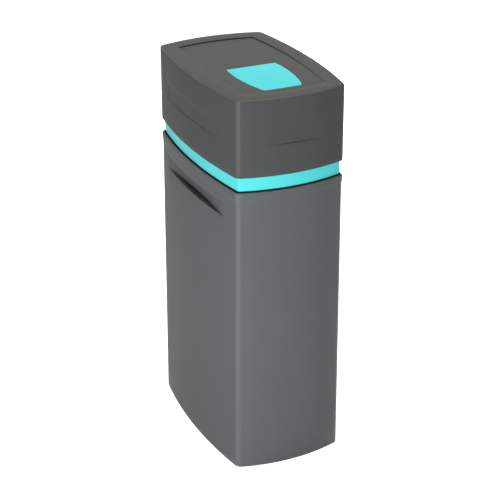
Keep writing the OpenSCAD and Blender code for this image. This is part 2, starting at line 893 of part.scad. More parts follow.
module meter_turbine() {
  r = passage_r - 0.5;
  hub = 3.5;
  blade = 1.2;
  y0 = meter_y + meter_l / 2;
  color(ivory)
  difference() {
    union() {
      bar_y(hub, y0, y0 + meter_l, port_x, port_z);
      for (i = [0 : 5])
        translate([port_x, y0 + meter_l, port_z]) rotate([90, 0, 0]) rotate(i * 60)
          linear_extrude(meter_l) translate([hub - eps, -blade / 2]) square([r - hub, blade]);
    }
    bar_y(meter_pin_r + run_gap, y0 - eps, y0 + meter_l + eps, port_x, port_z);
  }
}

// Bypass valve behind the control valve

nut_r = stub_r + 6;
nut_l = 24;
nut_rib_r = 2;
bypass_y = stub_end + nut_l / 2 + 2;
bypass_l = 2 * plug_r + 14;
bypass_end = bypass_y + bypass_l;
bypass_plug_y = bypass_y + bypass_l / 2;
block_r = stub_r + 2;
block_floor = 3;
handle_w = 8;
handle_l = 48;
handle_h = 10;
plug_rim = 4;
plug_rim_t = 5;
thread_end = half_d + 1;
thread_start = thread_end - thread_l;

module coupling_nuts() {
  color(ivory)
  for (s = [-1, 1])
    difference() {
      union() {
        bar_y(nut_r - nut_rib_r + 0.5, stub_end - nut_l / 2, stub_end + nut_l / 2,
              s * port_x, port_z);
        for (i = [0 : 11])
          translate([s * port_x, 0, port_z]) rotate([0, i * 30, 0])
            bar_y(nut_rib_r, stub_end - nut_l / 2, stub_end + nut_l / 2, nut_r - nut_rib_r, 0);
      }
      bar_y(stub_r + run_gap, stub_end - nut_l / 2 - eps, stub_end + nut_l / 2 + eps,
            s * port_x, port_z);
    }
}

module bypass_body() {
  bridge_w = 26;
  bridge_h = 30;
  color(black)
  difference() {
    union() {
      for (s = [-1, 1]) {
        bar_y(stub_r, stub_end, bypass_y + 1, s * port_x, port_z);
        bar_y(block_r, bypass_y, bypass_end, s * port_x, port_z);
        bar_z(plug_r + 5, port_z - block_r, port_z + block_r + 2, s * port_x, bypass_plug_y);
        bar_y(stub_r, bypass_end - 1, thread_start, s * port_x, port_z);
        bar_y(thread_r, thread_start - 1, thread_end, s * port_x, port_z);
      }
      translate([-port_x, bypass_plug_y - bridge_w / 2, port_z - bridge_h / 2])
        cube([port_pitch, bridge_w, bridge_h]);
    }
    for (s = [-1, 1]) {
      bar_y(passage_r, stub_end - eps, thread_end + eps, s * port_x, port_z);
      bar_z(plug_r + run_gap, port_z - block_r + block_floor, port_z + block_r + 3,
            s * port_x, bypass_plug_y);
    }
  }
}

// Plug of the bypass with its handle; tint tells inlet from outlet
module bypass_plug(s, tint) {
  y = bypass_plug_y;
  top = port_z + block_r + 2.3;
  rise = top + plug_rim_t - 1;
  color(tint)
  difference() {
    union() {
      bar_z(plug_r, port_z - block_r + block_floor + 0.3, top + 1, s * port_x, y);
      bar_z(plug_r + plug_rim, top, top + plug_rim_t, s * port_x, y);
      translate([s * port_x - handle_w / 2, y - handle_l / 2, rise])
        cube([handle_w, handle_l, handle_h]);
      for (e = [-1, 1])
        bar_z(handle_w / 2, rise, rise + handle_h, s * port_x, y + e * handle_l / 2);
    }
    bar_y(passage_r - 1, y - plug_r - eps, y + plug_r + eps, s * port_x, port_z);
  }
}

module bypass_plug_in() {
  bypass_plug(-1, blue);
}

module bypass_plug_out() {
  bypass_plug(1, red);
}

// Brine system

well_top = tank_h - well_drop;
check_r = 16;
check_h = 62;
pickup_r = 7;
pickup_bend = 9;
pickup_stub = 10;
pickup_x = well_x + check_r;
rod_x = well_x - float_r - 3;
rod_r = 2.5;
float_z = 330;
float_h = 48;
line_hole_z = well_top - 40;
guide_t = 6;
guide_r = 6;
slot_w = 4;
well_slot_h = 24;
cap_t = 3;
cap_lap = 9;
cap_handle_l = 44;
cap_handle_h = 12;
guides_z = [float_z + float_h + float_travel + 2, line_hole_z - 60];

module brine_well() {
  color(ivory)
  difference() {
    bar_z(well_r, floor_t, well_top, well_x, -well_y);
    bar_z(well_r - well_wall, floor_t - eps, well_top + eps, well_x, -well_y);
    for (i = [0 : 11], k = [0 : 2])
      translate([well_x, -well_y, floor_t + 10 + k * 1.4 * well_slot_h]) rotate(i * 30)
        translate([0, -slot_w / 2, 0]) cube([well_r + eps, slot_w, well_slot_h]);
    bar_y(line_r + 1, -well_y, -well_y + well_r + eps, pickup_x, line_hole_z);
  }
}

module brine_well_cap() {
  color(ivory)
  difference() {
    union() {
      bar_z(well_r + 3, well_top + 0.1, well_top + cap_t, well_x, -well_y);
      bar_z(well_r - well_wall - gap, well_top - cap_lap, well_top + 1, well_x, -well_y);
      translate([well_x - cap_handle_l / 2, -well_y - 2, well_top + cap_t - eps])
        cube([cap_handle_l, 4, cap_handle_h]);
    }
    bar_z(well_r - well_wall - cap_t, well_top - cap_lap - eps, well_top, well_x, -well_y);
  }
}

// Fixed pick-up tube with its air check below, rod guides and the line's elbow on top
module brine_pickup() {
  bend = pickup_bend;
  color(ivory)
  difference() {
    union() {
      bar_z(check_r, floor_t, floor_t + check_h, pickup_x, -well_y);
      bar_z(pickup_r, floor_t + check_h - eps, line_hole_z - bend, pickup_x, -well_y);
      for (z = guides_z) {
        translate([rod_x, -well_y - 4, z]) cube([pickup_x - rod_x, 8, guide_t]);
        bar_z(guide_r, z, z + guide_t, rod_x, -well_y);
      }
      translate([pickup_x, -well_y + bend, line_hole_z - bend]) rotate([90, 0, 90])
        rotate(90) rotate_extrude(angle = 90) translate([bend, 0])
          circle(r = pickup_r);
      bar_y(pickup_r, -well_y + bend, -well_y + bend + pickup_stub, pickup_x, line_hole_z);
    }
    for (z = guides_z)
      bar_z(rod_r + 0.08, z - eps, z + guide_t + eps, rod_x, -well_y);
    for (i = [0 : 5])
      translate([pickup_x, -well_y, floor_t + 8]) rotate(i * 60)
        translate([0, -slot_w / 2, 0]) cube([check_r + eps, slot_w, 0.65 * check_h]);
    bar_y(line_bore_r, -well_y + bend, -well_y + bend + pickup_stub + eps,
          pickup_x, line_hole_z);
  }
}

module float_rod() {
  color(steel)
  union() {
    bar_z(rod_r, float_z - 10, guides_z[1] + 20, rod_x, -well_y);
    bar_z(2 * rod_r, guides_z[1] + guide_t, guides_z[1] + guide_t + 4, rod_x, -well_y);
  }
}

module float() {
  color(ivory)
  difference() {
    bar_z(float_r, float_z, float_z + float_h, rod_x, -well_y);
    bar_z(rod_r, float_z - eps, float_z + float_h + eps, rod_x, -well_y);
  }
}

// Brine line: a tube swept along a smooth curve through chosen points

line_start = [side_boss_x + 12 + brine_stem_r + 4,
              drain_y - brine_stem_r - 4 - brine_stem_l, port_z];
line_end = [pickup_x, -well_y + pickup_bend + pickup_stub, line_hole_z];
line_route = [line_start, line_start + [0, -24, 0], line_start + [2, -62, -8],
              [line_start[0] + 8, -40, port_z - 36], [pickup_x + 4, -86, line_hole_z + 36],
              [pickup_x + 1, -116, line_hole_z + 5], line_end + [0, 33, 0], line_end];
line_sides = 10;
line_steps = 3;

// Point of a smooth curve through p, at t between points i and i + 1
function spline(p, i, t) =
  let (n = len(p), a = p[i], b = p[i + 1],
       ta = i == 0 ? b - a : (b - p[i - 1]) / 2,
       tb = i == n - 2 ? b - a : (p[i + 2] - a) / 2)
  a * (2 * t * t * t - 3 * t * t + 1) + ta * (t * t * t - 2 * t * t + t)
  + b * (3 * t * t - 2 * t * t * t) + tb * (t * t * t - t * t);

function along(p) =
  concat([for (i = [0 : len(p) - 2], k = [0 : line_steps - 1]) spline(p, i, k / line_steps)],
         [p[len(p) - 1]]);

// Ring of points round c, square to the direction t
function ring(c, t, r) =
  let (u = cross(t, [1, 0, 0]), n = u / norm(u), m = cross(t, n) / norm(t))
  [for (k = [0 : line_sides - 1]) let (a = 360 * k / line_sides)
    c + r * (n * cos(a) + m * sin(a))];

module tube_along(p, r) {
  q = along(p);
  n = len(q);
  s = line_sides;
  points = [for (i = [0 : n - 1])
              each ring(q[i], q[min(i + 1, n - 1)] - q[max(i - 1, 0)], r)];
  faces = concat([[for (k = [0 : s - 1]) k]],
                 [[for (k = [s - 1 : -1 : 0]) (n - 1) * s + k]],
                 [for (i = [0 : n - 2], k = [0 : s - 1]) let (j = (k + 1) % s)
                   [i * s + j, i * s + k, (i + 1) * s + k, (i + 1) * s + j]]);
  polyhedron(points = points, faces = faces, convexity = 8);
}

module brine_line() {
  color(ivory) tube_along(line_route, line_r);
}

// Hood

// Places its children on the sloping top panel: local y runs back, z is normal to it
module on_panel() {
  translate([0, panel_front, top_z - panel_front_drop]) rotate([-panel_slope, 0, 0])
    translate([0, -panel_front, 0]) children();
}

flap_front_y = -flap_back - flap_l;
flap_arc_c = [flap_half_w - flap_side_r, -flap_back - flap_wide];

// Right half of the flap's outline, moved outwards by out, from front to back. Beside the
// hinge the sides run straight to square corners, so that the flap can swing upright.
function flap_side(out) =
  let (r = flap_corner_r + out, big = flap_side_r + out,
       y0 = flap_front_y - out + r, y1 = -flap_back - 2 * barrel_out_r,
       c0 = [flap_arc_c[0] + sqrt(pow(big - r, 2) - pow(y0 - flap_arc_c[1], 2)), y0],
       a0 = atan2(y0 - flap_arc_c[1], c0[0] - flap_arc_c[0]),
       a1 = asin((y1 - flap_arc_c[1]) / big))
  concat([for (i = [0 : 5]) let (a = -90 + (a0 + 90) * i / 5) c0 + r * [cos(a), sin(a)]],
         [for (i = [1 : 10]) let (a = a0 + (a1 - a0) * i / 10)
           flap_arc_c + big * [cos(a), sin(a)]],
         [[flap_arc_c[0] + big * cos(a1), -flap_back + out]]);

module flap_outline(out) {
  right = flap_side(out);
  polygon(concat(right, [for (p = backwards(right)) [-p[0], p[1]]]));
}

hood_taper = 0.4;
seat_t = 3;
seat_in = collar_inset + collar_wall;
frame_depth = 9;
frame_wall = 4;
rest_w = 60;
barrel_out_r = 3;
pin_y = -flap_back - barrel_out_r;
pin_z = -barrel_out_r;
hinge_half = flap_arc_c[0] + sqrt(pow(flap_side_r, 2) - pow(flap_wide - 2 * barrel_out_r, 2));
pin_half = hinge_half + flap_gap + 3;

module hood_outside() {
  bowed_solid(concat([[hood_taper, hood_z]], top_round([0, top_z], hood_edge_r)));
}

// The hood's inside, with the seat that rests on the collar
module hood_inside() {
  seat_z = collar_top + 0.1;
  bowed_solid([[hood_taper - hood_wall, hood_z - eps], [hood_taper - hood_wall, seat_z],
               [-seat_in, seat_z], [-seat_in, seat_z + seat_t], [-hood_wall, seat_z + seat_t],
               [-hood_wall, top_z - hood_wall]]);
}

// Large discs that flatten the flanks and the front of the hood into shallow panels
function disc_r(half, sag) = (half * half + sag * sag) / (2 * sag);
side_panel_half = side_panel_l / 2;
side_panel_r = disc_r(side_panel_half, half_w - side_panel_d - side_x(side_panel_half, 0));
front_panel_half = front_panel_w / 2;
front_panel_h = side_panel_h - 5;
front_panel_r = disc_r(front_panel_half,
                       half_d - front_panel_d - back_y(front_panel_half, 0));

module side_panel_cut() {
  translate([0, 0, hood_z + side_panel_z]) linear_extrude(side_panel_h)
    difference() {
      translate([0, -side_panel_half]) square([half_w + 10, side_panel_l]);
      translate([half_w - side_panel_d - side_panel_r, 0])
        circle(r = side_panel_r, $fn = bow_fn);
    }
}

module front_panel_cut() {
  translate([0, 0, hood_z + side_panel_z]) linear_extrude(front_panel_h)
    difference() {
      translate([-front_panel_half, -half_d - 10]) square([front_panel_w, half_d]);
      translate([0, front_panel_r + front_panel_d - half_d])
        circle(r = front_panel_r, $fn = bow_fn);
    }
}

// Local thickening behind the shallow panels, so that the wall keeps its thickness there
module panel_backing() {
  z0 = hood_z + side_panel_z - 3;
  intersection() {
    translate([0, 0, z0]) linear_extrude(side_panel_h + 6) outline(-hood_wall / 2);
    union() {
      for (m = [0, 1])
        mirror([m, 0, 0])
          translate([half_w - side_panel_d - hood_wall, -side_panel_half, z0])
            cube([20, side_panel_l, side_panel_h + 6]);
      translate([-front_panel_half, -half_d, z0])
        cube([front_panel_w, front_panel_d + hood_wall, front_panel_h + 6]);
    }
  }
}

module flap_frame() {
  on_panel()
    translate([0, 0, -frame_depth]) linear_extrude(frame_depth - 0.5)
      flap_outline(flap_gap + frame_wall);
}

boss_x = flap_half_w + 14;
boss_y = [-flap_back - 30, flap_front_y + 45];
boss_r = 5.5;
boss_bore_r = 1.5;

module hood_shell() {
  slab = panel_drop + hood_wall;
  color(hood_color)
  difference() {
    union() {
      difference() {
        hood_outside();
        hood_inside();
      }
      translate([0, 0, top_z - slab]) linear_extrude(slab)
        sharp_outline(-panel_margin + 4);
      flap_frame();
      panel_backing();
      for (s = [-1, 1], y = boss_y)
        on_panel() bar_z(boss_r, -face_drop, -1, s * boss_x, y);
    }
    intersection() {
      translate([0, 0, top_z - 50]) linear_extrude(100) sharp_outline(-panel_margin);
      on_panel() translate([-half_w, -half_d, 0]) cube([cab_w, cab_d, 60]);
    }
    difference() {
      intersection() {
        translate([0, 0, top_z - 50]) linear_extrude(100)
          sharp_outline(-panel_margin - hood_wall);
        on_panel() translate([-half_w, -half_d, -60 - hood_wall])
          cube([cab_w, cab_d, 60]);
      }
      flap_frame();
      for (s = [-1, 1], y = boss_y)
        on_panel() bar_z(boss_r, -face_drop, -1, s * boss_x, y);
    }
    on_panel() {
      translate([0, 0, -frame_depth - eps]) linear_extrude(frame_depth + 20)
        flap_outline(flap_gap);
      bar_x(flap_pin_r, -pin_half, pin_half, pin_y, pin_z);
      for (s = [-1, 1], y = boss_y)
        bar_z(boss_bore_r, -face_drop - eps, -face_drop + 8, s * boss_x, y);
    }
    for (m = [0, 1])
      mirror([m, 0, 0]) side_panel_cut();
    front_panel_cut();
    translate([-notch_half_w, half_d - 60, hood_z - eps])
      cube([2 * notch_half_w, 80, notch_h + eps]);
  }
  color(hood_color)
  on_panel()
    translate([-rest_w / 2, flap_front_y - flap_gap - eps, -frame_depth])
      cube([rest_w, flap_gap + eps + 4, frame_depth - flap_t - 0.3]);
}

rib_x = flap_half_w - 24;

module display_flap() {
  barrel_half = hinge_half - 0.5;
  color(accent_color)
  on_panel()
    difference() {
      union() {
        intersection() {
          translate([0, 0, -flap_t]) linear_extrude(flap_t) flap_outline(0);
          translate([-half_w, flap_front_y - eps, -flap_t])
            cube([cab_w, flap_l - barrel_out_r + eps, flap_t]);
        }
        bar_x(barrel_out_r, -barrel_half, barrel_half, pin_y, pin_z);
        for (s = [-1, 1])
          translate([s * rib_x - 1, flap_front_y + 12, -flap_t - 1.5])
            cube([2, flap_l - 40, 2]);
      }
      bar_x(flap_pin_r + run_gap, -flap_half_w, flap_half_w, pin_y, pin_z);
    }
}

module flap_hinge_pin() {
  color(steel) on_panel() bar_x(flap_pin_r, -pin_half + 0.2, pin_half - 0.2, pin_y, pin_z);
}

// Control unit under the flap, screwed to bosses of the hood

unit_wall = 2.5;
face_y0 = flap_front_y + 8;
face_y1 = -flap_back - 14;
button_y = face_y0 + 32;
lens_y = face_y1 - 20 - lens_l / 2;
lens_t = 2;
lens_lap = 5;
lug_r = 7;
lug_t = 3;
screw_hole_r = 1.8;

module unit_outline(out) {
  translate([-flap_half_w + 2 - out, face_y0 - out])
    square([2 * flap_half_w - 4 + 2 * out, face_y1 - face_y0 + 2 * out]);
}

module control_housing() {
  color(black)
  on_panel()
    difference() {
      union() {
        translate([0, 0, -face_drop - unit_h]) linear_extrude(unit_h) unit_outline(0);
        for (s = [-1, 1], y = boss_y) {
          translate([min(s * boss_x, s * (flap_half_w - 4)), y - lug_r, -face_drop - lug_t])
            cube([boss_x - flap_half_w + 4, 2 * lug_r, lug_t]);
          bar_z(lug_r, -face_drop - lug_t, -face_drop, s * boss_x, y);
        }
      }
      translate([0, 0, -face_drop - unit_h - eps]) linear_extrude(unit_h + eps - unit_wall)
        unit_outline(-unit_wall);
      translate([-lens_w / 2, lens_y - lens_l / 2, -face_drop - lens_t])
        cube([lens_w, lens_l, lens_t + eps]);
      translate([-lens_w / 2 + lens_lap, lens_y - lens_l / 2 + lens_lap,
                 -face_drop - unit_wall - eps])
        cube([lens_w - 2 * lens_lap, lens_l - 2 * lens_lap, unit_wall + 2 * eps]);
      for (i = [0 : 3])
        bar_z(button_r + 0.35, -face_drop - unit_wall - eps, -face_drop + eps,
              (i - 1.5) * button_pitch, button_y);
      for (s = [-1, 1], y = boss_y)
        bar_z(screw_hole_r, -face_drop - lug_t - eps, -face_drop + eps, s * boss_x, y);
    }
}

cover_t = 2;
push_gap = 0.1;

module control_cover() {
  color(black)
  on_panel()
    translate([0, 0, -face_drop - unit_h]) linear_extrude(cover_t)
      unit_outline(-unit_wall - push_gap);
}

module display_lens() {
  color([0.10, 0.14, 0.17])
  on_panel()
    translate([-lens_w / 2 + push_gap, lens_y - lens_l / 2 + push_gap, -face_drop - lens_t])
      cube([lens_w - 2 * push_gap, lens_l - 2 * push_gap, lens_t]);
}

// Push button number i, with a flange that keeps it in the housing
module button(i) {
  shoulder = -face_drop - unit_wall - 0.3;
  flange = 1.6;
  plunger_r = 3;
  color(ivory)
  on_panel()
    translate([(i - 1.5) * button_pitch, button_y, 0]) {
      bar_z(button_r, shoulder, -face_drop + button_travel + 0.5, 0, 0);
      bar_z(button_r + flange, shoulder - flange, shoulder, 0, 0);
      bar_z(plunger_r, -board_z + switch_h + button_travel + 0.2, shoulder, 0, 0);
    }
}

module button_1() {
  button(0);
}

module button_2() {
  button(1);
}

module button_3() {
  button(2);
}

module button_4() {
  button(3);
}

board_z = face_drop + 14;
board_t = 1.6;
display_h = 8;
switch_w = 6;
switch_h = 4;

// Board with the display under the window, a switch under each button and three chips
module circuit_board() {
  x = flap_half_w - 2 - unit_wall - push_gap;
  rim = lens_lap + 3;
  lens_front = lens_y - lens_l / 2;
  color([0.12, 0.35, 0.20])
  on_panel()
    translate([0, 0, -board_z]) {
      translate([-x, face_y0 + unit_wall + push_gap, -board_t])
        cube([2 * x, face_y1 - face_y0 - 2 * (unit_wall + push_gap), board_t]);
      translate([-lens_w / 2 + rim, lens_front + rim, 0])
        cube([lens_w - 2 * rim, lens_l - 2 * rim, display_h]);
      for (i = [0 : 3])
        translate([(i - 1.5) * button_pitch - switch_w / 2, button_y - switch_w / 2, 0])
          cube([switch_w, switch_w, switch_h]);
      for (p = [[-40, -18], [-10, -22], [25, -16]])
        translate([p[0], lens_front + p[1], 0]) cube([14, 9, 2.5]);
    }
}

module unit_screws() {
  head_r = 3.2;
  head_t = 2;
  under = -face_drop - lug_t;
  color(steel)
  on_panel()
    for (s = [-1, 1], y = boss_y) {
      bar_z(boss_bore_r, under, under + 10, s * boss_x, y);
      bar_z(head_r, under - head_t, under, s * boss_x, y);
    }
}

// Socket for the low-voltage plug, on the back of the control unit
module power_inlet() {
  size = [16, 10, 12];
  socket_r = 3.2;
  socket_l = 8;
  color(black)
  on_panel()
    translate([30, face_y1, -face_drop - 18])
      difference() {
        cube(size);
        bar_y(socket_r, size[1] - socket_l, size[1] + eps, size[0] / 2, size[2] / 2);
      }
}

cabinet_body();
collar_ring();
overflow_fitting();
overflow_nut();
salt_grid();
vessel_boot();
pressure_vessel();
resin_bed();
riser_tube();
lower_distributor();
upper_distributor();
valve_body();
valve_seal();
piston_plug();
piston();
drive_bracket();
drive_gear();
idler_gear();
motor_pinion();
drive_motor();
bracket_screws();
injector_cap();
drain_elbow();
brine_elbow();
meter_turbine();
coupling_nuts();
bypass_body();
bypass_plug_in();
bypass_plug_out();
brine_well();
brine_well_cap();
brine_pickup();
float_rod();
float();
brine_line();
hood_shell();
display_flap();
flap_hinge_pin();
control_housing();
control_cover();
display_lens();
circuit_board();
unit_screws();
power_inlet();
button_1();
button_2();
button_3();
button_4();
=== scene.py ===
"""Looks of the cabinet water softener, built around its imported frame.

Lengths are in metres in the frame's own axes: +Z up, -Y towards the front, +X to the right.
The measures of a piece are in millimetres, which MM turns into metres.
"""
import logging
import math
from dataclasses import dataclass, replace
from enum import Enum
from typing import Callable, Sequence

import bmesh
import bpy
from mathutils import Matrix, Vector


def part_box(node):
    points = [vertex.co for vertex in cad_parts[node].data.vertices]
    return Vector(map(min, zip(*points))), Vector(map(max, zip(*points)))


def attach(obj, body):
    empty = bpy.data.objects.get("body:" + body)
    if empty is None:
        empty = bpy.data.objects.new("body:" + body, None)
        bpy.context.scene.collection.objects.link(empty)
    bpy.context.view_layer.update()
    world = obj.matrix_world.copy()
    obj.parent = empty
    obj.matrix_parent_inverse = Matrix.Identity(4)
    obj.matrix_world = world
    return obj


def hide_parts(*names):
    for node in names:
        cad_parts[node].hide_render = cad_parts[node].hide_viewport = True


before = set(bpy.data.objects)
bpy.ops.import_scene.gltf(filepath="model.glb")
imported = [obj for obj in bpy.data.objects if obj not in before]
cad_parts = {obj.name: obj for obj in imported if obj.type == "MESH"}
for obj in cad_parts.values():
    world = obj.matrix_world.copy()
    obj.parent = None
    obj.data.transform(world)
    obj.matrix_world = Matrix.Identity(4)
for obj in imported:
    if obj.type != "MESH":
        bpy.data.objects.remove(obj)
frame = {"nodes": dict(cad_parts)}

Triple = tuple[float, float, float]
Colour = Triple
Point = Triple
Box = tuple[Point, Point]
Pair = tuple[float, float]
Steps = tuple[Pair, ...]
Levels = tuple[float, ...]
Rings = list[list[Point]]
Thing = bpy.types.Object
Socket = bpy.types.NodeSocket
Inputs = dict[str | int, Socket | float | Levels]

LOG = logging.getLogger("softener")


# Finishes

COAT_ROUGHNESS = 0.12
SCATTER_DEPTH = 0.004
LEAST_ROUGHNESS = 0.03
ROUGHNESS_SPREAD = 0.05
CLOUD_SCALE = 9.0
CLOUD_DETAIL = 3.0
CLOUD_SHARE = 0.6
TINT_SPAN = (0.25, 0.75)
WALL_FLATNESS = 0.92
EDGE_FLATNESS = 0.62
# Near black of the painted shade below a finish's foot.
GAP_SHADE_COLOUR = (0.03, 0.03, 0.03, 1.0)
GRAIN_DETAIL = 2.0
BRUSH_STRETCH = (1.0, 12.0, 1.0)
BRUSH_GRAINS = 8.0
BRUSH_DETAIL = 4.0
WINDING_LEAN = 0.9
WINDING_GRAINS = 20.0
WINDING_DISTORTION = 1.5


@dataclass
class Nodes:
    """Shader nodes of a material or of the world."""

    tree: bpy.types.NodeTree

    def feed(self, node: bpy.types.Node, inputs: Inputs) -> None:
        """Link or set the inputs of a node.

        Args:
            node: the node.
            inputs: what each input is linked to or set to, by name or number.
        """
        for key, given in inputs.items():
            if isinstance(given, Socket):
                self.tree.links.new(given, node.inputs[key])
            else:
                node.inputs[key].default_value = given

    def add(self, kind: str, output: str | int, inputs: Inputs, **settings: str) -> Socket:
        """Add a node.

        Args:
            kind: its type.
            output: the output that is wanted.
            inputs: what its inputs are linked to or set to.
            settings: its settings.

        Returns:
            The output.
        """
        node = self.tree.nodes.new(kind)
        for name, setting in settings.items():
            setattr(node, name, setting)
        self.feed(node, inputs)
        return node.outputs[output]

    def math(self, operation: str, *inputs: Socket | float) -> Socket:
        """Add a sum of the given kind and return its value."""
        return self.add("ShaderNodeMath", "Value", dict(enumerate(inputs)), operation=operation)

    def span(self, value: Socket, low: float, high: float, start: float = 0.0,
             end: float = 1.0) -> Socket:
        """Turn a value that runs from start to end into one that runs from low to high."""
        return self.add("ShaderNodeMapRange", "Result", {
            "Value": value, "From Min": start, "From Max": end, "To Min": low, "To Max": high})

    def noise(self, place: Socket, scale: float, detail: float) -> Socket:
        """Add a noise with this many cells to a metre and octaves, and return its value."""
        return self.add("ShaderNodeTexNoise", "Fac",
                        {"Vector": place, "Scale": scale, "Detail": detail})

    def seen(self) -> Socket:
        """Return 1 for rays from the camera, a gloss or a clear piece."""
        rays = self.tree.nodes.new("ShaderNodeLightPath").outputs
        total = rays["Is Camera Ray"]
        for name in ("Is Glossy Ray", "Is Transmission Ray"):
            total = self.math("MAXIMUM", total, rays[name])
        return total


class Texture(Enum):
    """How the surface of a finish is broken up."""

    MOULDED = "fine grain of a moulded shell"
    SMOOTH = "polished tool, faint flow marks"
    WOUND = "crossed glass-fibre windings under a clear coat"
    BEADS = "packed round beads"
    BRUSHED = "drawn metal"
    TRACKS = "coated board with tracks"


@dataclass(frozen=True)
class Finish:
    """One procedural finish.

    Args:
        name: name of the material.
        colour: linear base colour.
        roughness: middle roughness.
        texture: how the surface is broken up.
        grain: size of one grain in metres.
        relief: height of the grain in metres.
        mottle: share by which the colour wanders over a hand's width.
        coat: weight of a clear coat.
        metallic: 1 for metal.
        scatter: weight of light scattered below the surface.
        clear: weight of light that passes through.
        gloss: strength of the mirror-like share, 0.5 for a plain lacquer.
        edge_gloss: the same on corners and edges, if it differs there.
        foot: height in metres below which shade is painted, near black, if it is.
    """

    name: str
    colour: Colour
    roughness: float
    texture: Texture = Texture.MOULDED
    grain: float = 0.0008
    relief: float = 0.00003
    mottle: float = 0.06
    coat: float = 0.0
    metallic: float = 0.0
    scatter: float = 0.0
    clear: float = 0.0
    gloss: float = 0.5
    edge_gloss: float | None = None
    foot: float | None = None

    def material(self) -> bpy.types.Material:
        """Make the finish's material.

        Returns:
            The new material.
        """
        made = bpy.data.materials.new(self.name)
        made.use_nodes = True
        nodes = Nodes(made.node_tree)
        place = nodes.add("ShaderNodeTexCoord", "Object", {})
        pattern = self.pattern(nodes, place)
        clouds = nodes.noise(place, CLOUD_SCALE, CLOUD_DETAIL)
        nodes.feed(made.node_tree.nodes["Principled BSDF"], {
            "Base Color": self.tint(nodes, place, clouds, pattern),
            "Metallic": self.metallic,
            "Roughness": nodes.span(clouds,
                                    max(LEAST_ROUGHNESS, self.roughness - ROUGHNESS_SPREAD),
                                    min(1.0, self.roughness + ROUGHNESS_SPREAD)),
            "Specular IOR Level": self.gloss if self.edge_gloss is None else self.polish(nodes),
            "Coat Weight": self.coat,
            "Coat Roughness": COAT_ROUGHNESS,
            "Subsurface Weight": self.scatter,
            "Subsurface Scale": SCATTER_DEPTH,
            "Transmission Weight": self.clear,
            "Normal": nodes.add("ShaderNodeBump", "Normal",
                                {"Distance": self.relief, "Height": pattern})})
        return made

    def polish(self, nodes: Nodes) -> Socket:
        """Return the gloss, raised where the surface turns a corner or an edge.

        The sum of the normal's fourth powers is 1 along an axis and 0.5 between two of them.
        """
        normal = nodes.tree.nodes.new("ShaderNodeNewGeometry").outputs["Normal"]
        square = nodes.add("ShaderNodeVectorMath", "Vector", {0: normal, 1: normal},
                           operation="MULTIPLY")
        flatness = nodes.add("ShaderNodeVectorMath", "Value", {0: square, 1: square},
                             operation="DOT_PRODUCT")
        return nodes.span(flatness, self.gloss, self.edge_gloss, WALL_FLATNESS, EDGE_FLATNESS)

    def pattern(self, nodes: Nodes, place: Socket) -> Socket:
        """Add the nodes of the texture.

        Args:
            nodes: the material's nodes.
            place: coordinates of the surface.

        Returns:
            A value from 0 to 1, the height of the relief.
        """
        grains = 1.0 / self.grain
        if self.texture is Texture.WOUND:
            return nodes.math("MAXIMUM", *[
                nodes.add("ShaderNodeTexWave", "Fac", {
                    "Vector": nodes.add("ShaderNodeMapping", "Vector",
                                        {"Vector": place, "Rotation": (0.0, lean, 0.0)}),
                    "Scale": grains / WINDING_GRAINS, "Distortion": WINDING_DISTORTION,
                    "Detail": GRAIN_DETAIL}, bands_direction="Z")
                for lean in (-WINDING_LEAN, WINDING_LEAN)])
        if self.texture is Texture.BRUSHED:
            place = nodes.add("ShaderNodeMapping", "Vector",
                              {"Vector": place, "Scale": BRUSH_STRETCH})
            return nodes.noise(place, grains / BRUSH_GRAINS, BRUSH_DETAIL)
        if self.texture in (Texture.MOULDED, Texture.SMOOTH):
            return nodes.noise(place, grains, GRAIN_DETAIL)
        look = {}
        if self.texture is Texture.TRACKS:
            look = {"distance": "MANHATTAN", "feature": "DISTANCE_TO_EDGE"}
        return nodes.add("ShaderNodeTexVoronoi", "Distance", {"Vector": place, "Scale": grains},
                         **look)

    def tint(self, nodes: Nodes, place: Socket, clouds: Socket, pattern: Socket) -> Socket:
        """Let the base colour wander a little, and paint shade on its foot if it has one.

        Args:
            nodes: the material's nodes.
            place: coordinates of the surface.
            clouds: wide noise.
            pattern: the texture's value.

        Returns:
            The colour.
        """
        fine = nodes.math("MULTIPLY", pattern, 1.0 - CLOUD_SHARE)
        share = nodes.math("MULTIPLY_ADD", clouds, CLOUD_SHARE, fine)
        colour = nodes.add("ShaderNodeValToRGB", "Color", {"Fac": share})
        for end, position, change in zip(colour.node.color_ramp.elements, TINT_SPAN,
                                         (-self.mottle, self.mottle)):
            end.position = position
            end.color = (*[min(1.0, level * (1.0 + change)) for level in self.colour], 1.0)
        if self.foot is None:
            return colour
        # Painted shade: below the foot's height the colour turns near black, standing in for the
        # shade in the gap under the collar.
        height = nodes.add("ShaderNodeSeparateXYZ", "Z", {"Vector": place})
        above = nodes.math("GREATER_THAN", height, self.foot)
        return nodes.add("ShaderNodeMix", 2, {"Factor": above, 6: GAP_SHADE_COLOUR, 7: colour},
                         data_type="RGBA")


TANK = Finish("tank_plastic", (0.0985, 0.1025, 0.1055), 0.44, grain=0.0009, relief=0.00003,
              mottle=0.03, gloss=0.015, edge_gloss=0.2)
HOOD = Finish("hood_plastic", (0.067, 0.069, 0.0695), 0.44, grain=0.0008, relief=0.00003,
              mottle=0.03, gloss=0.015, edge_gloss=0.14)
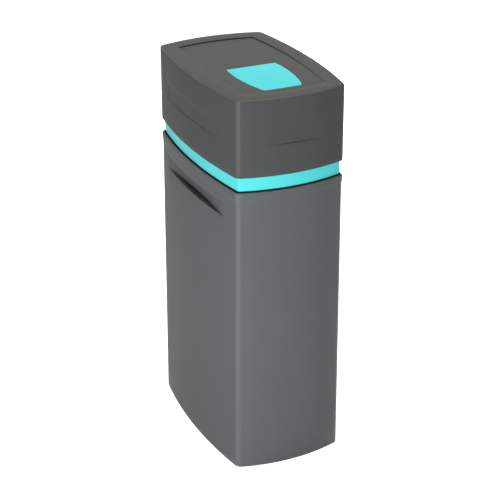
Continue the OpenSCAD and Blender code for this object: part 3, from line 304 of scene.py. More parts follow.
# The accent is painted near black below 848 mm: painted shade in the gap between the collar and
# the tank's rim.
ACCENT = Finish("accent_plastic", (0.085, 0.61, 0.62), 0.42, Texture.SMOOTH, 0.002, 0.00001, 0.02,
                gloss=0.1, foot=0.848)
FLAP = Finish("flap_plastic", (0.055, 0.49, 0.553), 0.42, Texture.SMOOTH, 0.002, 0.00001, 0.02,
              gloss=0.1)
BLACK = Finish("black_plastic", (0.020, 0.020, 0.022), 0.48)
VALVE = Finish("valve_plastic", (0.026, 0.026, 0.028), 0.55, grain=0.0006, relief=0.00006,
               mottle=0.15)
NATURAL = Finish("natural_plastic", (0.74, 0.74, 0.69), 0.42, Texture.SMOOTH, 0.003, 0.00002,
                 0.03, scatter=0.1)
BUTTON = Finish("button_plastic", (0.52, 0.54, 0.55), 0.5)
VESSEL = Finish("vessel_shell", (0.035, 0.11, 0.26), 0.35, Texture.WOUND, 0.0012, 0.00015, 0.28,
                coat=0.6)
BEADS = Finish("resin_beads", (0.45, 0.22, 0.05), 0.4, Texture.BEADS, 0.0012, 0.0004, 0.3)
RUBBER = Finish("seal_rubber", (0.018, 0.018, 0.018), 0.6)
LINE = Finish("line_plastic", (0.66, 0.69, 0.69), 0.3, Texture.SMOOTH, 0.003, 0.00001, 0.03,
              scatter=0.2)
BLUE = Finish("blue_plastic", (0.03, 0.13, 0.42), 0.4)
RED = Finish("red_plastic", (0.45, 0.04, 0.03), 0.4)
WINDOW = Finish("window_plastic", (0.80, 0.85, 0.86), 0.08, Texture.SMOOTH, 0.004, 0.000002,
                0.02, clear=0.95)
DISPLAY = Finish("display_glass", (0.30, 0.37, 0.31), 0.4, Texture.SMOOTH, 0.002, 0.000002)
INK = Finish("dark_ink", (0.022, 0.026, 0.028), 0.5, Texture.SMOOTH, 0.002, 0.000002)
BOARD = Finish("board_laminate", (0.02, 0.12, 0.05), 0.35, Texture.TRACKS, 0.006, 0.00008, 0.35,
               coat=0.4)
STEEL = Finish("steel", (0.56, 0.57, 0.59), 0.3, Texture.BRUSHED, 0.0004, 0.00002, 0.08,
               metallic=1.0)

WORN_BY: dict[Finish, str] = {
    TANK: "cabinet_body", ACCENT: "collar_ring", HOOD: "hood_shell", FLAP: "display_flap",
    BLACK: "overflow_fitting overflow_nut vessel_boot drain_elbow brine_elbow control_housing "
           "control_cover power_inlet",
    NATURAL: "salt_grid riser_tube lower_distributor upper_distributor piston_plug piston "
             "drive_gear idler_gear motor_pinion meter_turbine coupling_nuts brine_well "
             "brine_well_cap brine_pickup float",
    VALVE: "valve_body drive_bracket injector_cap bypass_body",
    STEEL: "drive_motor bracket_screws float_rod flap_hinge_pin unit_screws",
    VESSEL: "pressure_vessel", BEADS: "resin_bed", RUBBER: "valve_seal",
    BLUE: "bypass_plug_in", RED: "bypass_plug_out", LINE: "brine_line",
    WINDOW: "display_lens", BOARD: "circuit_board",
    BUTTON: "button_1 button_2 button_3 button_4",
}


class Paintbox:
    """Keeps one material for each finish that is in use."""

    def __init__(self) -> None:
        """Start with no materials."""
        self.made: dict[Finish, bpy.types.Material] = {}

    def get(self, finish: Finish) -> bpy.types.Material:
        """Return the material of a finish, made once."""
        if finish not in self.made:
            self.made[finish] = finish.material()
        return self.made[finish]

    def dress(self, thing: Thing, finish: Finish) -> None:
        """Give a piece its finish and no other."""
        thing.data.materials.clear()
        thing.data.materials.append(self.get(finish))

    def dress_nodes(self, nodes: dict[str, Thing]) -> None:
        """Give each CAD node its finish."""
        for finish, names in WORN_BY.items():
            for name in names.split():
                self.dress(nodes[name], finish)
                LOG.info("node %s: %s", name, finish.name)


# Shapes

MM = 0.001
MERGE = 1e-6
SMOOTH_FOLD = 32.0
ROUND_STEPS = 4
HALVINGS = 60
DEEP = 1000.0
LIP = ((0.0, 1.0), (0.134, 0.5), (0.5, 0.134), (1.0, 0.0))


class Join(Enum):
    """How a tool acts on a piece."""

    ADD = "UNION"
    CUT = "DIFFERENCE"


def arc(x: float, y: float, radius: float, start: float, end: float, steps: int) -> list[Pair]:
    """Return the points of an arc about (x, y), both ends among them."""
    turns = [start + (end - start) * i / steps for i in range(steps + 1)]
    return [(x + radius * math.cos(turn), y + radius * math.sin(turn)) for turn in turns]


def circle(radius: float, sides: int) -> list[Pair]:
    """Return the corners of a circle about its middle."""
    return arc(0.0, 0.0, radius, 0.0, math.tau, sides)[:-1]


def rounded(out: float, z: float, radius: float) -> list[Pair]:
    """Return the steps (out, height) of a rounded upper outer edge."""
    return arc(out - radius, z - radius, radius, 0.0, math.pi / 2, ROUND_STEPS)


def in_metres(x: float, y: float, z: float) -> Point:
    """Take a point of the frame from millimetres to metres."""
    return x * MM, y * MM, z * MM


def select(*things: Thing) -> None:
    """Leave edit mode and select these pieces alone, the first of them active."""
    if bpy.context.object and bpy.context.object.mode != "OBJECT":
        bpy.ops.object.mode_set(mode="OBJECT")
    bpy.ops.object.select_all(action="DESELECT")
    for thing in reversed(things):
        thing.select_set(True)
        bpy.context.view_layer.objects.active = thing


def grow_ring(made: Thing, points: Sequence[Point], first: bool) -> None:
    """Extrude the selected ring and put its corners in their places.

    Args:
        made: the piece, in edit mode.
        points: places of the ring's corners in order.
        first: True for the circle itself, which isn't extruded.
    """
    if not first:
        bpy.ops.mesh.extrude_region_move()
    mesh = bmesh.from_edit_mesh(made.data)
    order = mesh.verts.layers.int["order"]
    for corner in mesh.verts:
        if corner.select:
            corner.co = points[corner[order]]
    bmesh.update_edit_mesh(made.data)


def skin(name: str, rings: Sequence[Sequence[Point]], fold: float = SMOOTH_FOLD) -> Thing:
    """Draw a skin over rings, from a circle that is extruded ring by ring.

    A face closes each end, unless the last ring is the first one again.

    Args:
        name: name of the piece.
        rings: the rings in order, all with the same number of corners.
        fold: steepest fold in degrees that is still shaded smooth.

    Returns:
        The closed piece.
    """
    select()
    bpy.ops.mesh.primitive_circle_add(vertices=len(rings[0]), radius=0.1)
    made = bpy.context.active_object
    made.name = name
    bpy.ops.object.mode_set(mode="EDIT")
    mesh = bmesh.from_edit_mesh(made.data)
    order = mesh.verts.layers.int.new("order")
    mesh.verts.ensure_lookup_table()
    for number, corner in enumerate(mesh.verts):
        corner[order] = number
    bmesh.update_edit_mesh(made.data)
    bpy.ops.mesh.select_all(action="SELECT")
    for number, ring in enumerate(rings):
        grow_ring(made, ring, number == 0)
    bpy.ops.mesh.select_all(action="SELECT")
    bpy.ops.mesh.remove_doubles(threshold=MERGE)
    bpy.ops.mesh.fill_holes(sides=0)
    finish_mesh(made, fold)
    made.data.attributes.remove(made.data.attributes["order"])
    return made


def finish_mesh(made: Thing, fold: float = SMOOTH_FOLD) -> None:
    """Merge what meets, turn the faces outwards and shade the piece smooth.

    Args:
        made: the piece.
        fold: steepest fold in degrees that is still shaded smooth.
    """
    select(made)
    bpy.ops.object.transform_apply(location=True, rotation=True, scale=True)
    bpy.ops.object.mode_set(mode="EDIT")
    bpy.ops.mesh.select_all(action="SELECT")
    bpy.ops.mesh.remove_doubles(threshold=MERGE)
    bpy.ops.mesh.normals_make_consistent(inside=False)
    bpy.ops.object.mode_set(mode="OBJECT")
    bpy.ops.object.shade_smooth_by_angle(angle=math.radians(fold))


def work(made: Thing, tool: Thing, join: Join) -> None:
    """Join a tool to a piece or cut it out, and put the tool away.

    Args:
        made: the piece.
        tool: the tool.
        join: what the tool does.
    """
    select(made)
    step = made.modifiers.new("work", "BOOLEAN")
    step.operation = join.value
    step.solver = "EXACT"
    step.object = tool
    bpy.ops.object.modifier_apply(modifier=step.name)
    bpy.data.objects.remove(tool, do_unlink=True)


def bar(name: str, start: Point, end: Point, radius: float, sides: int = 32) -> Thing:
    """Make a round bar between two points in metres, with its radius in millimetres."""
    turn = (Vector(end) - Vector(start)).to_track_quat("Z", "Y").to_matrix()
    return skin(name, [[tuple(Vector(base) + turn @ Vector((x, y, 0.0)))
                        for x, y in circle(radius * MM, sides)] for base in (start, end)])


def block(name: str, corners: Box, place: Callable[[float, float, float], Point]) -> Thing:
    """Make a block.

    Args:
        name: name of the block.
        corners: its lowest and its highest corner.
        place: takes the block's own lengths to the frame.

    Returns:
        The block.
    """
    (x0, y0, z0), (x1, y1, z1) = corners
    plan = ((x0, y0), (x1, y0), (x1, y1), (x0, y1))
    return skin(name, [[place(x, y, z) for x, y in plan] for z in (z0, z1)])


@dataclass(frozen=True)
class Outline:
    """Plan of the cabinet: four wide bows, given by their sagitta, with rounded corners.

    The steps are the flats of a quarter: half a side, a corner and half the front.
    """

    half_w: float = 180.0
    half_d: float = 285.0
    bow_front: float = 26.0
    bow_side: float = 23.0
    corner_r: float = 17.0
    side_steps: int = 40
    corner_steps: int = 12
    front_steps: int = 28

    @property
    def front_r(self) -> float:
        """Radius of the front's bow."""
        chord = self.half_w - self.bow_side
        return (chord ** 2 + self.bow_front ** 2) / (2 * self.bow_front)

    @property
    def side_r(self) -> float:
        """Radius of a side's bow."""
        chord = self.half_d - self.bow_front
        return (chord ** 2 + self.bow_side ** 2) / (2 * self.bow_side)

    def side_x(self, y: float, out: float) -> float:
        """Place of the side at a depth."""
        return self.half_w - self.side_r + math.sqrt((self.side_r + out) ** 2 - y * y)

    def back_y(self, x: float, out: float) -> float:
        """Place of the back at a width."""
        return self.half_d - self.front_r + math.sqrt((self.front_r + out) ** 2 - x * x)

    def crossing(self, out: float) -> Pair:
        """Return where the side's bow meets the back's bow, both moved outwards."""
        low, high = 0.0, self.half_d
        for _ in range(HALVINGS):
            y = (low + high) / 2
            if y < self.back_y(self.side_x(y, out), out):
                low = y
            else:
                high = y
        return self.side_x(low, out), low

    def quarter(self, out: float) -> list[Pair]:
        """Return the corners of the first quarter, from the right side to the back.

        Args:
            out: how far the plan is moved outwards.

        Returns:
            Points from (x, 0) to (0, y).
        """
        sharp = out < -self.corner_r
        x, y = self.crossing(out if sharp else -self.corner_r)
        side_c, front_c = self.half_w - self.side_r, self.half_d - self.front_r
        side_end, front_end = math.atan2(y, x - side_c), math.atan2(y - front_c, x)
        return (arc(side_c, 0.0, self.side_r + out, 0.0, side_end, self.side_steps)[:-1]
                + arc(x, y, 0.0 if sharp else self.corner_r + out, side_end, front_end,
                      self.corner_steps)[:-1]
                + arc(0.0, front_c, self.front_r + out, front_end, math.pi / 2,
                      self.front_steps))

    def plan(self, out: float) -> list[Pair]:
        """Return the whole plan, moved outwards by out."""
        quarter = self.quarter(out)
        half = quarter[:-1] + [(-x, y) for x, y in quarter[:0:-1]]
        return half + [(-x, -y) for x, y in half]


OUTLINE = Outline()


@dataclass(frozen=True)
class Hollow:
    """Hollow with a wide bowed floor in two opposite walls.

    Args:
        in_side: True where it lies in the sides, False where it lies in the front.
        half: half of its length.
        floor_mid: distance of its floor from the cabinet's middle, halfway along.
        floor_r: radius of the floor's bow.
        bulge: 1 where the floor bows outwards, -1 where it bows inwards.
        low: height of its lower edge, and high of its upper edge.
        lip: radius of its edges.
    """

    in_side: bool
    half: float
    floor_mid: float
    floor_r: float
    bulge: int
    low: float
    high: float
    lip: float

    def press(self, x: float, y: float, amount: float) -> Pair:
        """Press one point of a wall inwards, to the floor at most.

        Args:
            x: width of the point.
            y: depth of the point.
            amount: how far it is pressed.

        Returns:
            The pressed point.
        """
        along, across = (y, x) if self.in_side else (x, y)
        if abs(along) > self.half or (not self.in_side and across > 0):
            return x, y
        rise = self.floor_r - math.sqrt(self.floor_r ** 2 - along * along)
        floor = self.floor_mid - self.bulge * rise
        if abs(across) <= floor:
            return x, y
        kept = math.copysign(max(floor, abs(across) - amount), across)
        return (kept, y) if self.in_side else (x, kept)

    def lips(self, upper: bool) -> list[Pair]:
        """Return the steps (height, amount) over the lower or the upper edge."""
        edge, way = (self.high, self.lip) if upper else (self.low, -self.lip)
        steps = [(edge + rise * way, share * self.lip) for share, rise in LIP] + [(edge, DEEP)]
        return steps[::-1] if upper else steps


def wall_ring(out: float, z: float | Callable[[float], float],
              pressed: Sequence[tuple[Hollow, float]] = ()) -> list[Point]:
    """Return one ring of a bowed wall in metres.

    Args:
        out: how far it is moved outwards, in millimetres.
        z: its height in millimetres, or the height at a depth.
        pressed: hollows and how far each presses the wall.

    Returns:
        The ring's corners.
    """
    ring = []
    for x, y in OUTLINE.plan(out):
        height = z(y) if callable(z) else z
        for hollow, amount in pressed:
            x, y = hollow.press(x, y, amount)
        ring.append(in_metres(x, y, height))
    return ring


def wall(steps: Sequence[Pair]) -> Rings:
    """Return the rings of a bowed wall at the steps (out, height)."""
    return [wall_ring(out, z) for out, z in steps]


@dataclass
class Piece:
    """Paints a finished piece and lets it ride on its body."""

    paint: Paintbox

    def hand_over(self, made: Thing, finish: Finish, body: str, slot: str,
                  replaced: Sequence[str] = ()) -> None:
        """Paint a piece, let it ride on its body and hide the nodes that it stands for.

        Args:
            made: the piece.
            finish: its finish.
            body: the body that it rides on.
            slot: name of a material slot; not used.
            replaced: nodes that it stands for.
        """
        self.paint.dress(made, finish)
        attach(made, body)
        if replaced:
            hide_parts(*replaced)
        LOG.info("piece %s: %d faces on %s", made.name, len(made.data.polygons), body)


@dataclass
class Tank(Piece):
    """Blow-moulded salt tank with its two hand grips. Its steps are (out, height).

    Args:
        waist: out and height where the wall starts to flare.
        flare: out and height where the flare ends.
        boss: radius, place, height and thickness of the overflow's boss.
        boss_reach: from its face to the tip of its fitting.
        hole: radius of the hole, and how far it is cut inwards and outwards from the face.
    """

    foot: Steps = ((2.7, 0.0), (3.26, 0.24), (3.5, 0.8))
    levels: Levels = (80.0, 250.0, 420.0, 590.0, 700.0)
    waist: Pair = (-1.3, 812.0)
    flare: Pair = (0.7, 834.0)
    flare_shares: Levels = (0.0, 0.12, 0.3, 0.55, 0.8, 1.0)
    top: float = 845.0
    rim_r: float = 4.0
    ledge: Steps = ((-4.8, 845.0), (-5.3, 844.5), (-5.3, 836.0), (-12.5, 836.0), (-12.5, 833.0),
                    (-5.3, 825.8))
    thick: float = 4.0
    inner_levels: Pair = (420.0, 5.0)
    grip: Hollow = Hollow(True, 196.5, 158.7, 2613.5, -1, 755.0, 797.0, 1.4)
    boss: tuple[float, float, float, float] = (17.0, 122.0, 690.0, 13.05)
    boss_reach: float = 15.493
    hole: Triple = (10.0, 30.0, 10.0)

    def out_at(self, z: float) -> float:
        """Return how far the outer wall stands out at a height."""
        foot_out = self.foot[-1][0]
        return foot_out + (self.waist[0] - foot_out) * z / self.waist[1]

    def outer(self) -> Rings:
        """Return the rings of the outer wall, from the foot to the rim."""
        rings = wall(self.foot) + wall([(self.out_at(z), z) for z in self.levels])
        for upper in (False, True):
            for z, amount in self.grip.lips(upper):
                rings.append(wall_ring(self.out_at(z), z, ((self.grip, amount),)))
        for share in self.flare_shares:
            smooth = share * share * (3 - 2 * share)
            out = self.waist[0] + (self.flare[0] - self.waist[0]) * smooth
            rings.append(wall_ring(out, self.waist[1] + (self.flare[1] - self.waist[1]) * share))
        return rings + wall(rounded(self.flare[0], self.top, self.rim_r))

    def inner(self) -> Rings:
        """Return the rings of the ledge and the inner wall, from the rim to the floor."""
        backing = replace(self.grip, floor_mid=self.grip.floor_mid - self.thick,
                          low=self.grip.low - self.thick, high=self.grip.high + self.thick)
        rings = wall(self.ledge)
        for z, amount in ((backing.high, 0.0), (backing.high, DEEP), (backing.low, DEEP),
                          (backing.low, 0.0)):
            rings.append(wall_ring(self.out_at(z) - self.thick, z, ((backing, amount),)))
        return rings + wall([(self.out_at(z) - self.thick, z) for z in self.inner_levels])

    def build(self) -> None:
        """Build the tank in place of its node."""
        made = skin("tank", self.outer() + self.inner())
        boss_r, x, z, thick = self.boss
        hole_r, inwards, outwards = self.hole
        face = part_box("overflow_fitting")[1][1] / MM - self.boss_reach
        for name, low, high, radius, join in (
                ("boss", face - thick, face, boss_r, Join.ADD),
                ("boss_hole", face - inwards, face + outwards, hole_r, Join.CUT)):
            work(made, bar(name, in_metres(x, low, z), in_metres(x, high, z), radius), join)
        finish_mesh(made)
        self.hand_over(made, TANK, "cabinet", "tank_plastic", ["cabinet_body"])


@dataclass
class Collar(Piece):
    """Turquoise collar that shows as a ring under the hood. Its steps are (out, height).

    The top is out, height and radius of its upper outer edge.
    """

    foot: Steps = ((-9.2, 836.0), (-9.2, 847.9), (-9.0, 848.0), (-8.3, 848.0), (-8.0, 848.3),
                   (-8.0, 880.0))
    top: Triple = (-8.0, 897.0, 1.5)
    back: Steps = ((-13.5, 897.0), (-13.5, 893.5), (-11.5, 893.5), (-11.5, 836.0))

    def build(self) -> None:
        """Build the collar in place of its node."""
        rings = wall([*self.foot, *rounded(*self.top), *self.back])
        made = skin("collar", rings + rings[:1])
        self.hand_over(made, ACCENT, "cabinet", "accent_plastic", ["collar_ring"])


@dataclass(frozen=True)
class Panel:
    """Sloping top panel that carries the flap."""

    front: float = -224.0
    front_z: float = 1098.4
    slope: float = math.atan(2.4 / 461.0)

    def place(self, x: float, y: float, z: float) -> Point:
        """Take a point of the panel, whose surface is z = 0, to the frame in metres."""
        run = y - self.front
        return in_metres(x, self.front + run * math.cos(self.slope) + z * math.sin(self.slope),
                         self.front_z - run * math.sin(self.slope) + z * math.cos(self.slope))

    def height(self, y: float) -> float:
        """Return the panel's height at a depth."""
        return self.front_z - (y - self.front) * math.tan(self.slope)


PANEL = Panel()


@dataclass(frozen=True)
class FlapPlan:
    """Plan of the display flap and its hinge, on the panel.

    Args:
        back: depth of its edge at the hinge.
        wide: from the hinge's edge to where it is widest.
        straight: length of the straight part of each side before the hinge.
        pin: depth and height of the hinge's axis.
    """

    back: float = -9.0
    length: float = 202.0
    half_w: float = 77.0
    side_r: float = 470.0
    wide: float = 60.0
    corner_r: float = 7.0
    straight: float = 6.0
    corner_steps: int = 8
    side_steps: int = 24
    pin: Pair = (-12.0, -3.0)

    def plan(self, out: float, back: float | None = None) -> list[Pair]:
        """Return the plan, moved outwards, from the front to the hinge and round.

        Args:
            out: how far it is moved outwards.
            back: where it ends at the hinge, if not at its own edge.

        Returns:
            Points of the whole plan.
        """
        cx, cy = self.half_w - self.side_r, self.back - self.wide
        r, big = self.corner_r + out, self.side_r + out
        y0 = self.back - self.length - out + r
        c0 = cx + math.sqrt((big - r) ** 2 - (y0 - cy) ** 2)
        first = math.atan2(y0 - cy, c0 - cx)
        last = math.asin((self.back - self.straight - cy) / big)
        right = (arc(c0, y0, r, -math.pi / 2, first, self.corner_steps)
                 + arc(cx, cy, big, first, last, self.side_steps)[1:])
        right.append((right[-1][0], self.back + out if back is None else back))
        return right + [(-x, y) for x, y in reversed(right)]

    @property
    def hinge_half(self) -> float:
        """Half width of the flap at its hinge."""
        return self.plan(0.0)[self.corner_steps + self.side_steps + 1][0]

    def prism(self, name: str, out: float, low: float, high: float) -> Thing:
        """Make a prism with this plan, moved outwards, between two heights on the panel."""
        return skin(name, [[PANEL.place(x, y, z) for x, y in self.plan(out)]
                           for z in (low, high)])

    def on_axis(self, name: str, half: float, radius: float, sides: int = 32) -> Thing:
        """Make a round bar on the hinge's axis that reaches half to each side."""
        return bar(name, PANEL.place(-half, *self.pin), PANEL.place(half, *self.pin), radius,
                   sides)


FLAP_PLAN = FlapPlan()


@dataclass
class Hood(Piece):
    """Loose hood with its sunk panel, the flap's frame and the notch. Its steps are (out, height).

    Args:
        draft_top: height where the flank stops leaning in.
        margin_lip: steps (in, down) round the inner edge of the border.
        flap_frame: out, low and high on the panel, as for the opening.
        boss: radius, low and high of the control unit's bosses, as for their bores.
        rest: corners of the ledge that the flap rests on.
        pin: half length and radius of the hinge pin's bore.
    """

    side: Hollow = Hollow(True, 180.0, 178.8, 1647.3, 1, 972.0, 1014.0, 0.5)
    front: Hollow = Hollow(False, 75.0, 282.5, 851.3, 1, 972.0, 1009.0, 0.7)
    foot: Steps = ((0.0, 887.0), (0.28, 887.12), (0.4, 887.4))
    draft_top: float = 1096.0
    low_levels: Levels = (905.0, 935.0, 960.0)
    high_levels: Levels = (1035.0, 1065.0, 1085.0)
    top: float = 1100.0
    edge_r: float = 4.0
    border: Pair = (-10.0, -16.9)
    margin: float = 48.0
    margin_lip: Steps = ((0.9, 0.0), (0.45, 0.12), (0.12, 0.45), (0.0, 0.9))
    under: Pair = (-52.0, 1092.0)
    thick: float = 4.0
    inside: Steps = ((-44.0, 1092.0), (-44.0, 1096.0), (-4.0, 1096.0), (-4.0, 900.1),
                     (-11.5, 900.1), (-11.5, 897.1), (-3.6, 897.1), (-3.6, 887.0))
    flap_frame: Triple = (4.6, -9.0, -0.5)
    opening: Triple = (0.6, -10.0, 11.0)
    boss_x: float = 91.0
    boss_y: Pair = (-39.0, -166.0)
    boss: Triple = (5.5, -13.0, -1.0)
    boss_bore: Triple = (1.5, -14.0, -5.0)
    rest: Box = ((-30.0, -212.6, -9.0), (30.0, -207.0, -3.3))
    pin: Pair = (77.49, 1.25)
    notch: Box = ((-112.0, 225.0, 880.0), (112.0, 300.0, 965.0))

    def outer(self) -> Rings:
        """Return the rings of the outside, from the lower edge to the panel."""
        both = (self.side, self.front)
        bottom, foot_out = self.foot[0][1], self.foot[-1][0]

        def flank(steps: Sequence[Triple]) -> Rings:
            """Return rings at a height whose hollows are pressed by two amounts."""
            return [wall_ring(foot_out * (self.draft_top - z) / (self.draft_top - bottom), z,
                              tuple(zip(both, amounts))) for z, *amounts in steps]

        rings = wall(self.foot) + flank([(z, 0.0, 0.0) for z in self.low_levels])
        rings += flank([(z, amount, amount) for z, amount in self.front.lips(False)])
        rings += flank([(z, DEEP, amount) for z, amount in self.front.lips(True)])
        rings += flank([(z, amount, 0.0) for z, amount in self.side.lips(True)])
        rings += flank([(z, 0.0, 0.0) for z in self.high_levels])
        rings += wall(rounded(0.0, self.top, self.edge_r))
        rings += wall([(out, self.top) for out in self.border])
        rings += wall([(a - self.margin, self.top - b) for a, b in self.margin_lip])
        return rings + [wall_ring(-self.margin, PANEL.height)]

    def inner(self) -> Rings:
        """Return the rings of the inside, from the panel's underside to the lower edge."""
        def underside(y: float) -> float:
            """Return the height of the panel's underside."""
            return PANEL.height(y) - self.thick

        return [wall_ring(self.under[0], underside)] + wall([self.under, *self.inside])

    def at_bosses(self, made: Thing, name: str, size: Triple, join: Join) -> None:
        """Add a bar at each of the control unit's bosses, or cut it out.

        Args:
            made: the hood.
            name: name of the bars.
            size: radius of a bar, and its low and high end on the panel.
            join: what the bars do.
        """
        radius, low, high = size
        for x in (-self.boss_x, self.boss_x):
            for y in self.boss_y:
                work(made, bar(name, PANEL.place(x, y, low), PANEL.place(x, y, high), radius),
                     join)

    def build(self) -> None:
        """Build the hood in place of its node."""
        made = skin("hood", self.outer()[::-1] + self.inner()[::-1])
        work(made, FLAP_PLAN.prism("flap_frame", *self.flap_frame), Join.ADD)
        self.at_bosses(made, "boss", self.boss, Join.ADD)
        work(made, FLAP_PLAN.prism("opening", *self.opening), Join.CUT)
        work(made, block("rest", self.rest, PANEL.place), Join.ADD)
        work(made, FLAP_PLAN.on_axis("pin_bore", *self.pin), Join.CUT)
        self.at_bosses(made, "boss_bore", self.boss_bore, Join.CUT)
        work(made, block("notch", self.notch, in_metres), Join.CUT)
        finish_mesh(made)
        self.hand_over(made, HOOD, "hood", "hood_plastic", ["hood_shell"])


@dataclass
class Flap(Piece):
    """Turquoise flap over the display, on the panel.

    Args:
        barrel_in: how far the hinge's barrel stays inside the flap's sides.
        barrel: radius and number of flats of the barrel.
        bore: half length and radius of its bore.
        rib: corners of one of the two ribs below, about its own middle.
    """

    thick: float = 3.0
    edge_r: float = 1.2
    fold: float = 40.0
    barrel_in: float = 0.5
    barrel: tuple[float, int] = (3.0, 48)
    bore: Pair = (90.0, 1.3)
    rib_x: float = 53.0
    rib: Box = ((-1.0, -199.0, -4.5), (1.0, -37.0, -2.5))

    def build(self) -> None:
        """Build the flap in place of its node."""
        steps = [(0.0, -self.thick)] + rounded(0.0, 0.0, self.edge_r)
        made = skin("flap", [[PANEL.place(x, y, z)
                              for x, y in FLAP_PLAN.plan(out, FLAP_PLAN.pin[0])]
                             for out, z in steps], fold=self.fold)
        half = FLAP_PLAN.hinge_half - self.barrel_in
        work(made, FLAP_PLAN.on_axis("barrel", half, *self.barrel), Join.ADD)
        for x in (-self.rib_x, self.rib_x):
            low, high = ((x + dx, y, z) for dx, y, z in self.rib)
            work(made, block("rib", (low, high), PANEL.place), Join.ADD)
        work(made, FLAP_PLAN.on_axis("pin_bore", *self.bore), Join.CUT)
        finish_mesh(made, self.fold)
        self.hand_over(made, FLAP, "flap", "accent_plastic", ["display_flap"])


def joined(name: str, parts: Sequence[Thing]) -> Thing:
    """Join parts into one piece.

    Args:
        name: name of the piece.
        parts: the parts.

    Returns:
        The piece.
    """
    select(*parts)
    if len(parts) > 1:
        bpy.ops.object.join()
    parts[0].name = name
    return parts[0]


def prism(name: str, plan: Sequence[Pair], low: float, high: float, edge: float = 0.0) -> Thing:
    """Make a prism that stands on the top panel.

    Args:
        name: name of the prism.
        plan: corners of its plan.
        low: its lower height over the panel.
        high: its upper height.
        edge: width of the slope at its upper edge.

    Returns:
        The prism.
    """
    cx = sum(x for x, _ in plan) / len(plan)
    cy = sum(y for _, y in plan) / len(plan)
    reach = max(math.hypot(x - cx, y - cy) for x, y in plan)
    rings = [[PANEL.place(x, y, z) for x, y in plan] for z in (low, high - edge)]
    if edge:
        share = 1 - edge / reach
        rings.append([PANEL.place(cx + (x - cx) * share, cy + (y - cy) * share, high)
                      for x, y in plan])
    return skin(name, rings)


@dataclass
class Display(Piece):
    """Figures of the display below the window, and the marks on the buttons, on the panel.

    Args:
        middle: middle of the display, and top the height of the board's display.
        glass: half width, half length, thickness and edge of the glass.
        figure: width and height of a figure, and foot how far it starts below the middle.
        stroke: half width of a figure's bar, and gap how far the bar stops short at its ends.
        shown: lit bars of each figure, from a at the top round to g in the middle, and its place.
        colon: places of the ends of its bars, and their heights.
        mark_z: low and high of a mark about the button's top.
        dot: radius and number of flats of the round mark.
    """

    middle: Pair = (0.0, -71.0)
    top: float = -19.0
    glass: tuple[float, float, float, float] = (37.0, 17.0, 0.6, 0.2)
    figure: Pair = (10.5, 20.0)
    foot: float = 8.0
    stroke: float = 1.1
    gap: float = 0.3
    ink: float = 0.15
    shown: tuple[tuple[str, float], ...] = (("bc", -32.0), ("abged", -16.0), ("fgbc", 4.0),
                                            ("afgcd", 20.0))
    colon: tuple[Pair, Pair] = ((-1.6, 1.2), (-2.5, 6.5))
    button_y: float = -171.0
    button_pitch: float = 27.0
    button_top: float = -11.0
    mark_z: Pair = (-0.1, 0.15)
    mark_edge: float = 0.1
    dot: tuple[float, int] = (3.2, 24)
    rows: Levels = (-2.4, 0.0, 2.4)

    def segment(self, start: Pair, end: Pair) -> Thing:
        """Make one bar of a figure.

        Args:
            start: its one end.
            end: its other end.

        Returns:
            The bar.
        """
        along = (Vector(end) - Vector(start)).normalized()
        side = Vector((-along.y, along.x)) * self.stroke
        a, b = Vector(start) + along * self.gap, Vector(end) - along * self.gap
        step = along * self.stroke
        plan = [a, a + step - side, b - step - side, b, b - step + side, a + step + side]
        face = self.top + self.glass[2]
        return prism("segment", [tuple(p) for p in plan], face, face + self.ink)

    def digit(self, lit: str, x: float, y: float) -> list[Thing]:
        """Make the lit bars of one figure.

        Args:
            lit: letters of the bars.
            x: the figure's left side.
            y: its lower side.

        Returns:
            The bars.
        """
        w, h = self.figure
        ends = {"a": ((0, h), (w, h)), "b": ((w, h / 2), (w, h)), "c": ((w, 0), (w, h / 2)),
                "d": ((0, 0), (w, 0)), "e": ((0, 0), (0, h / 2)), "f": ((0, h / 2), (0, h)),
                "g": ((0, h / 2), (w, h / 2))}
        return [self.segment(*[(x + px, y + py) for px, py in ends[letter]]) for letter in lit]

    def marks(self) -> list[list[Pair]]:
        """Return the plans of the marks on the four buttons, each about its middle."""
        dash = [(-3.2, -0.6), (3.2, -0.6), (3.2, 0.6), (-3.2, 0.6)]
        forwards = [(-3.4, 2.0), (0.0, -3.2), (3.4, 2.0)]
        backwards = [(-3.4, -2.0), (3.4, -2.0), (0.0, 3.2)]
        return [dash, forwards, backwards, circle(*self.dot)]

    def figures(self) -> None:
        """Build the display's glass and its figures."""
        cx, cy = self.middle
        w, h, thick, edge = self.glass
        plan = [(cx - w, cy - h), (cx + w, cy - h), (cx + w, cy + h), (cx - w, cy + h)]
        back = prism("display_back", plan, self.top, self.top + thick, edge)
        self.hand_over(back, DISPLAY, "hood", "window_plastic")
        bars: list[Thing] = []
        for lit, x in self.shown:
            bars += self.digit(lit, cx + x, cy - self.foot)
        (left, right), heights = self.colon
        bars += [self.segment((cx + left, cy + y), (cx + right, cy + y)) for y in heights]
        self.hand_over(joined("display_figures", bars), INK, "hood", "black_plastic")

    def build(self) -> None:
        """Build the display and the marks."""
        self.figures()
        low, high = (self.button_top + z for z in self.mark_z)
        marks = self.marks()
        for number, mark in enumerate(marks):
            x = (number - (len(marks) - 1) / 2) * self.button_pitch
            parts = [prism("mark", [(x + px, self.button_y + py + row) for px, py in mark],
                           low, high, self.mark_edge)
                     for row in (self.rows if number == 0 else (0.0,))]
            self.hand_over(joined(f"mark_{number + 1}", parts), INK, f"button_{number + 1}",
                           "black_plastic")


